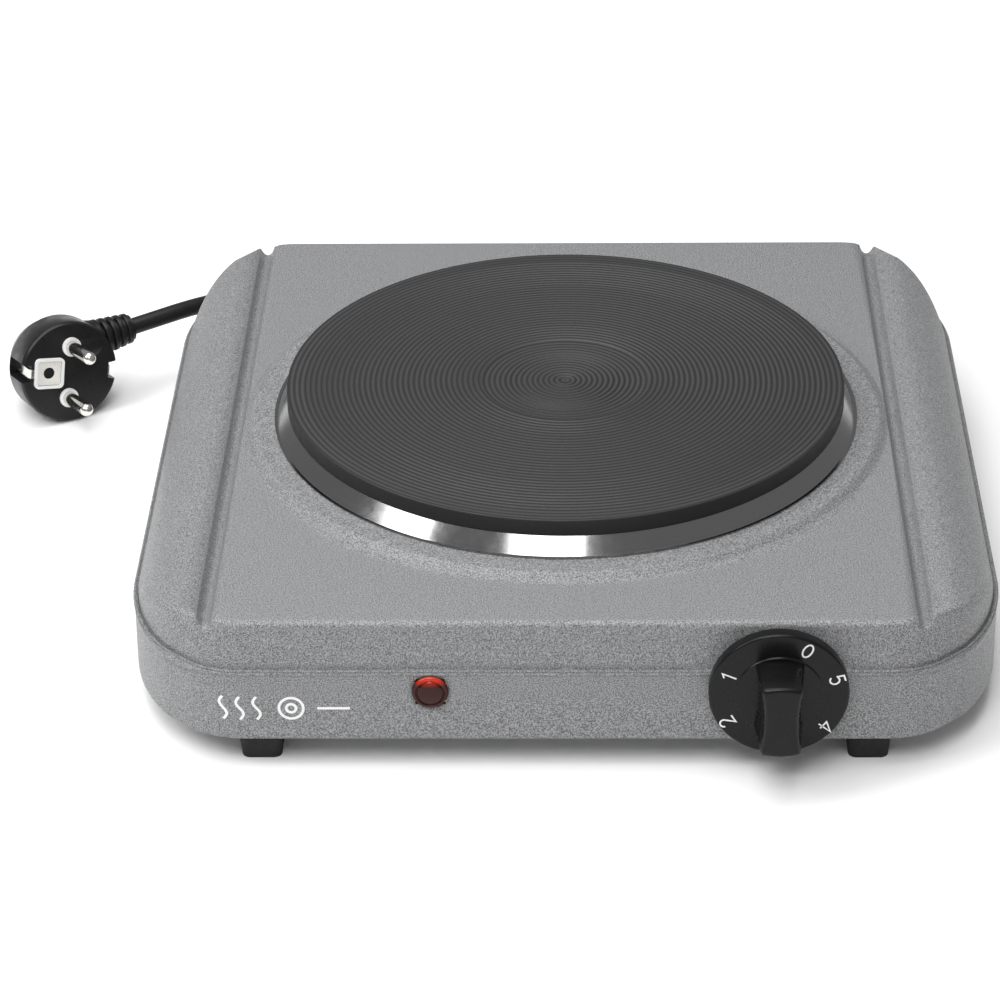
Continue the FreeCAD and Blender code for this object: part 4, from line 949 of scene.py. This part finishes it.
def build_knob():
    s = bpy.context.scene.hotplate_knob
    x0, y0, z0 = knob_axis.x, wall_front, knob_axis.z
    reach = -knob_low.y + wall_front
    frame_of = dict(origin=(x0, y0, z0), u=(1, 0, 0), v=(0, 0, 1), w=(0, -1, 0))
    outline = [(s.radius - s.wall, s.gap), (s.radius, s.gap, 0.0002), (s.radius, s.face, 0.0009),
               (s.disc + 0.0003, s.face, 0.0002), (s.disc, s.face + 0.0005, 0.0002), (0, s.face + 0.0005)]
    top = soften(outline)
    inner = np.array([(0, s.face - s.wall), (s.radius - s.wall, s.face - s.wall), (s.radius - s.wall, s.gap)])
    skirt = [turned(np.vstack([top, inner]), 144, **frame_of)]

    # Grip: rings of the waisted outline, narrower towards the front, with a soft front edge.
    end_width, front_end_width = 0.0154, 0.0124
    waist_width, front_waist_width = 0.0124, 0.0100
    soft_from, soft_edge = 0.93, 0.0014
    levels = [(t, 0.0) for t in (0.0, 0.3, 0.6, 0.88)]
    for a in np.linspace(0.2, math.pi / 2, 6):
        levels.append((soft_from + (1 - soft_from) * math.sin(a), soft_edge * (1 - math.cos(a))))
    rings = []
    for t, shrink in levels:
        ends = (end_width + t * (front_end_width - end_width)) / 2 - shrink
        waist = (waist_width + t * (front_waist_width - waist_width)) / 2 - shrink
        line = grip_outline(s.grip / 2 - shrink, ends, waist)
        count = len(line)
        depth = s.face + t * (reach - s.face)
        rings.append(np.column_stack([x0 + line[:, 0], np.full(count, y0 - depth), z0 + line[:, 1]]))
    middle = (x0, y0 - reach, z0)
    inside = (x0, y0 - s.face, z0)
    rings = np.array([np.tile(inside, (count, 1))] + rings + [np.tile(middle, (count, 1))])
    grip = [(rings, quads(*rings.shape[:2], wrap=True))]
    skirt_piece = make_piece("knob_skirt", skirt, (x0, y0 - s.face + 0.0008, z0))
    skirt_piece.data.set_sharp_from_angle(angle=math.radians(35))
    grip_piece = make_piece("knob_grip", grip, (x0, y0 - reach / 2, z0))
    grip_piece.data.set_sharp_from_angle(angle=math.radians(50))
    for piece in (skirt_piece, grip_piece):
        give(piece, "knob_black")
    follows(skirt_piece, "control", "knob_black", "knob")
    follows(grip_piece, "control", "knob_black")

    parts = []
    for value, (degrees, outside) in dial.items():
        a = math.radians(degrees)
        out = np.array((math.sin(a), 0, math.cos(a)))
        side = np.array((math.cos(a), 0, -math.sin(a)))
        base = np.array((x0, y0 - s.face, z0)) + out * (s.ring + outside)
        for path, closed in numeral_strokes()[value]:
            points, faces = ribbon(np.array(path) * s.numeral, s.stroke, 0.00006, closed)
            co = base + points[:, :1] * side + points[:, 1:2] * out + points[:, 2:] * np.array((0, -1, 0))
            parts.append((co, faces))
    marks = make_piece("dial_numerals", parts, (x0, y0, z0))
    marks.data.shade_flat()
    give(marks, "collar_white")
    follows(marks, "control", "collar_white")


# ---------------------------------------------------------------- pilot lamp
def build_lamp():
    s = bpy.context.scene.hotplate_lamp
    front = wall_front - lens_low.y
    stem, stem_end = 0.0044, -0.003
    outline = [(0, front), (s.lens * 0.55, front * 0.92), (s.lens * 0.9, front * 0.68, 0.0004),
               (s.lens, front * 0.38), (s.lens + 0.0002, front * 0.38),
               (s.lens + 0.0004, front * 0.62, 0.0002), (s.bezel - 0.0003, front * 0.50, 0.0004),
               (s.bezel, 0.0, 0.0001), (stem, 0.0), (stem, stem_end), (0, stem_end)]
    place = (lamp_x, wall_front, lamp_z)
    surface = turned(soften(outline, 6), 96, place, (1, 0, 0), (0, 0, 1), (0, -1, 0))
    piece = make_piece("pilot_lens", [surface], place)
    piece.data.set_sharp_from_angle(angle=math.radians(40))
    give(piece, "lamp_red")
    follows(piece, "hob", "lamp_red", "lamp_lens")


# ---------------------------------------------------------------- plug
plug_place = (-half_x - 0.0431, half_y - 0.0463, 0.01875)
plug_pins_to = (0.505, -0.845, 0.161)
plug_up = (0.094, 0.239, 0.966)


def plug_frame():
    """Middle of the plug's face and its axes (side, up, ahead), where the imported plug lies."""
    ahead = np.array(plug_pins_to) / np.linalg.norm(plug_pins_to)
    side = np.cross(plug_up, ahead)
    side = side / np.linalg.norm(side)
    return np.array(plug_place), side, np.cross(ahead, side), ahead


def lay_plug(points, place):
    middle, side, up, ahead = place
    return middle + points[..., :1] * side + points[..., 1:2] * up + points[..., 2:] * ahead


def build_plug():
    s = bpy.context.scene.hotplate_plug
    place = plug_frame()
    middle, side, up, ahead = place

    # Round body whose radius is cut back to x = 15 mm in the two side notches.
    outline = soften([(0, -s.depth), (0.0115, -s.depth, 0.0012), (0.0146, -s.depth + 0.0024, 0.001),
                      (s.radius - 0.0004, -0.0130), (s.radius - 0.0003, -0.0128), (s.radius, -0.0012, 0.0006),
                      (s.radius - 0.0007, 0, 0.0003), (0.0153, 0), (0, 0)])
    edge = math.degrees(math.asin(s.notch / s.radius))
    turns = np.concatenate([np.linspace(-edge, edge, 9), np.linspace(edge + 0.3, 180 - edge - 0.3, 60)])
    turns = np.radians(np.concatenate([turns, turns + 180]))
    r = np.repeat(outline[:, :1], len(turns), 1)
    z = np.repeat(outline[:, 1:], len(turns), 1)
    notch_floor, notch_low = 0.015, -0.0129
    limit = notch_floor / np.maximum(np.abs(np.cos(turns)), 0.1)
    cut = (np.abs(np.sin(turns))[None, :] * s.radius <= s.notch * 1.001) & (z > notch_low)
    r = np.where(cut, np.minimum(r, limit[None, :]), r)
    grid = lay_plug(np.stack([r * np.cos(turns), r * np.sin(turns), z], -1), place)
    body = make_piece("plug_shell", [(grid, quads(*grid.shape[:2], wrap=True))], middle - ahead * 0.012)
    body.data.set_sharp_from_angle(angle=math.radians(32))

    # Ribbed strain relief: a smooth root, then plates with gaps between them on a thinner core.
    out = math.cos(s.boot_turn) * side + math.sin(s.boot_turn) * up
    across = np.cross(ahead, out)
    root_up, root_back = 0.0068, 0.0070
    root = middle + up * root_up - ahead * root_back
    line = [(0, 0.004), (0.0080, 0.004, 0.0005), (0.0078, 0.010, 0.001)]
    start, end, ribs, rib_share = 0.0125, s.boot_end, 5, 0.62
    first_rib, narrowing = 0.0071, 0.0014
    pitch = (end - start) / ribs
    for i in range(ribs):
        t0, t1 = start + i * pitch, start + (i + rib_share) * pitch
        wide = first_rib - narrowing * i / (ribs - 1)
        line += [(wide, t0, 0.0004), (wide - 0.0001, t1, 0.0004), (s.boot_core, t1 + 0.0001),
                 (s.boot_core, t0 + pitch - 0.0001)]
    line += [(0.0034, end), (0, end)]
    surface = turned(soften(line, 4), 64, root, across, ahead, out)
    boot = make_piece("plug_boot", [surface], root + out * 0.012)
    boot.data.set_sharp_from_angle(angle=math.radians(32))
    for piece in (body, boot):
        give(piece, "plug_black")
    follows(body, "hob", "plug_black", "plug_body")
    follows(boot, "hob", "plug_black")

    # Earth insert: a raised frame with round corners, and its floor with a hole.
    half, low, insert_x = 0.0056, -0.0012, -0.0082
    round_at, corner_round, frame_width, frame_high = half - 0.0018, 0.0013, 0.0010, 0.0022
    frame_line = []
    for x, y, a in ((1, 1, 0), (-1, 1, 90), (-1, -1, 180), (1, -1, 270)):
        frame_line += arc(x * round_at + insert_x, y * round_at, corner_round, corner_round, a, a + 90, 6)
    co, faces = ribbon(frame_line, frame_width, frame_high, True)
    insert = make_piece("plug_insert", [(lay_plug(co + (0, 0, low), place), faces)], middle)
    count, hole, hole_edge, face_high = 48, 0.0021, 0.0027, 0.0004
    a = np.linspace(0, 2 * math.pi, count, endpoint=False)
    unit = np.column_stack([np.cos(a), np.sin(a)])
    square = unit * (half - 0.0012) / np.abs(unit).max(1)[:, None]
    rows = [(unit * hole, low), (unit * hole, face_high / 2), (unit * hole_edge, face_high),
            (square, face_high), (square, low), (unit * hole, low)]
    grid = np.array([np.column_stack([p[:, 0] + insert_x, p[:, 1], np.full(count, h)]) for p, h in rows])
    floor = make_piece("plug_insert_floor", [(lay_plug(grid, place), quads(len(rows), count, wrap=True))],
                       middle + side * insert_x)
    for piece in (insert, floor):
        piece.data.set_sharp_from_angle(angle=math.radians(35))
    give(insert, "collar_white")
    give(floor, "lamp_housing")
    follows(insert, "hob", "collar_white", "earth_insert")
    follows(floor, "hob", "lamp_housing")

    # Earth contacts: a strip of spring metal that lies in each notch and folds over the rim.
    parts = []
    for sign, reach in ((1, 0.0146), (-1, 0.0139)):
        path = np.array([(0.0152, -0.0126), (0.0156, -0.0010), (0.0150, 0.0002), (reach, 0.0002)]) * (sign, 1)
        co, faces = ribbon(path, 0.0005, s.clip)
        co = np.column_stack([co[:, 0], co[:, 2] - s.clip / 2, co[:, 1]])
        parts.append((lay_plug(co, place), faces))
    clips = make_piece("plug_clips", parts, middle)
    clips.data.shade_flat()
    give(clips, "pin_nickel")
    follows(clips, "hob", "pin_nickel", "earth_clips")


# ---------------------------------------------------------------- front mark
def build_mark():
    """Three rising heat waves x = x0 + s sin(2 pi t), two rings and a dash, printed on the wall."""
    s = bpy.context.scene.hotplate_mark
    shell = Shell(bpy.context.scene.hotplate_housing)
    first_wave, wave_pitch, swing, ring_x, dash = 0.0035, 0.0052, 0.0011, 0.0245, (0.0325, 0.0425)
    middle = s.high / 2
    strokes = []
    for i in range(3):
        t = np.linspace(0, 1, 18)
        x = (first_wave + wave_pitch * i) + swing * np.sin(2 * math.pi * t)
        strokes.append((np.column_stack([x, t * s.high]), False))
    for radius, last, steps in ((s.high / 2.2, 350, 36), (s.high / 5.5, 345, 24)):
        strokes.append((np.array(arc(ring_x, middle, radius, radius, 0, last, steps)), True))
    strokes.append((np.array([(x, middle) for x in dash]), False))
    parts = []
    for path, closed in strokes:
        points, faces = ribbon(path, s.stroke, 0.00007, closed)
        x = -s.left + points[:, 0]
        z = s.low + points[:, 1]
        inset = shell.s.draft * (z - wall_low) / (shell.ledge_z - wall_low)
        over = np.clip((np.abs(x) - shell.middle_x) / (shell.s.corner_x - inset), 0, 1)
        y = shell.middle_y + (shell.s.corner_y - inset) * np.sqrt(1 - over ** 2)
        parts.append((np.column_stack([x, -(y + points[:, 2]), z]), faces))
    piece = make_piece("front_mark", parts, (-s.left / 2, 0, s.low))
    piece.data.shade_flat()
    give(piece, "collar_white")
    follows(piece, "hob", "collar_white")


# ---------------------------------------------------------------- carried-over pieces
def slots_of_nodes():
    """Material slot of each CAD node, from the record."""
    return {item["node"]: item["material_slot"] for item in frame["record"]["subparts"]}


def build_inside():
    """Give every carried-over node its finish."""
    slots = slots_of_nodes()
    for name, node in frame["nodes"].items():
        if name not in slots:
            raise KeyError(f"the record gives {name} no slot")
        give(node, slots[name])


# ---------------------------------------------------------------- operators
class HOTPLATE_OT_stage(bpy.types.Operator):
    """Add the camera, lights, floor and surroundings"""
    bl_idname = "hotplate.stage"
    bl_label = "Stage"

    def execute(self, context):
        build_stage()
        return {"FINISHED"}


class HOTPLATE_OT_cord(bpy.types.Operator):
    """Add the mains cord with its tied bundle"""
    bl_idname = "hotplate.cord"
    bl_label = "Mains cord"

    def execute(self, context):
        build_cord()
        return {"FINISHED"}


class HOTPLATE_OT_housing(bpy.types.Operator):
    """Add the pressed steel housing"""
    bl_idname = "hotplate.housing"
    bl_label = "Housing"

    def execute(self, context):
        build_housing()
        return {"FINISHED"}


class HOTPLATE_OT_plate(bpy.types.Operator):
    """Add the turned iron plate"""
    bl_idname = "hotplate.plate"
    bl_label = "Plate"

    def execute(self, context):
        build_plate()
        return {"FINISHED"}


class HOTPLATE_OT_knob(bpy.types.Operator):
    """Add the knob and the numerals on its dial"""
    bl_idname = "hotplate.knob"
    bl_label = "Knob"

    def execute(self, context):
        build_knob()
        return {"FINISHED"}


class HOTPLATE_OT_lamp(bpy.types.Operator):
    """Add the red lens of the pilot lamp"""
    bl_idname = "hotplate.lamp"
    bl_label = "Pilot lamp"

    def execute(self, context):
        build_lamp()
        return {"FINISHED"}


class HOTPLATE_OT_plug(bpy.types.Operator):
    """Add the mains plug with its ribbed strain relief and earth contacts"""
    bl_idname = "hotplate.plug"
    bl_label = "Plug"

    def execute(self, context):
        build_plug()
        return {"FINISHED"}


class HOTPLATE_OT_mark(bpy.types.Operator):
    """Print the plain mark on the front wall"""
    bl_idname = "hotplate.mark"
    bl_label = "Front mark"

    def execute(self, context):
        build_mark()
        return {"FINISHED"}


class HOTPLATE_OT_inside(bpy.types.Operator):
    """Finish the pieces that keep their CAD shape"""
    bl_idname = "hotplate.inside"
    bl_label = "Other pieces"

    def execute(self, context):
        build_inside()
        return {"FINISHED"}


class HOTPLATE_PT_panel(bpy.types.Panel):
    """Sizes, colours and buttons of the hot plate burner"""
    bl_label = "Hot plate"
    bl_idname = "HOTPLATE_PT_panel"
    bl_space_type = "VIEW_3D"
    bl_region_type = "UI"
    bl_category = "Hot plate"

    def draw(self, context):
        for group in settings_groups:
            box = self.layout.box()
            box.label(text=group)
            held = getattr(context.scene, group)
            for name in held.__annotations__:
                box.prop(held, name)
        for work in operators:
            self.layout.operator(work.bl_idname)


settings_groups = {
    "hotplate_stage": StageSettings,
    "hotplate_cord": CordSettings,
    "hotplate_housing": HousingSettings,
    "hotplate_plate": PlateSettings,
    "hotplate_knob": KnobSettings,
    "hotplate_lamp": LampSettings,
    "hotplate_plug": PlugSettings,
    "hotplate_mark": MarkSettings,
}
operators = [
    HOTPLATE_OT_stage, HOTPLATE_OT_plug, HOTPLATE_OT_cord, HOTPLATE_OT_inside, HOTPLATE_OT_housing,
    HOTPLATE_OT_plate, HOTPLATE_OT_knob, HOTPLATE_OT_lamp, HOTPLATE_OT_mark,
]


def register():
    for cls in (*settings_groups.values(), *operators, HOTPLATE_PT_panel):
        bpy.utils.register_class(cls)
    for name, cls in settings_groups.items():
        setattr(bpy.types.Scene, name, PointerProperty(type=cls))


def unregister():
    for name in settings_groups:
        delattr(bpy.types.Scene, name)
    for cls in (HOTPLATE_PT_panel, *reversed(operators), *reversed(settings_groups.values())):
        bpy.utils.unregister_class(cls)


def main():
    register()
    for work in operators:
        module, name = work.bl_idname.split(".")
        getattr(getattr(bpy.ops, module), name)()


if __name__ == "__main__":
    main()
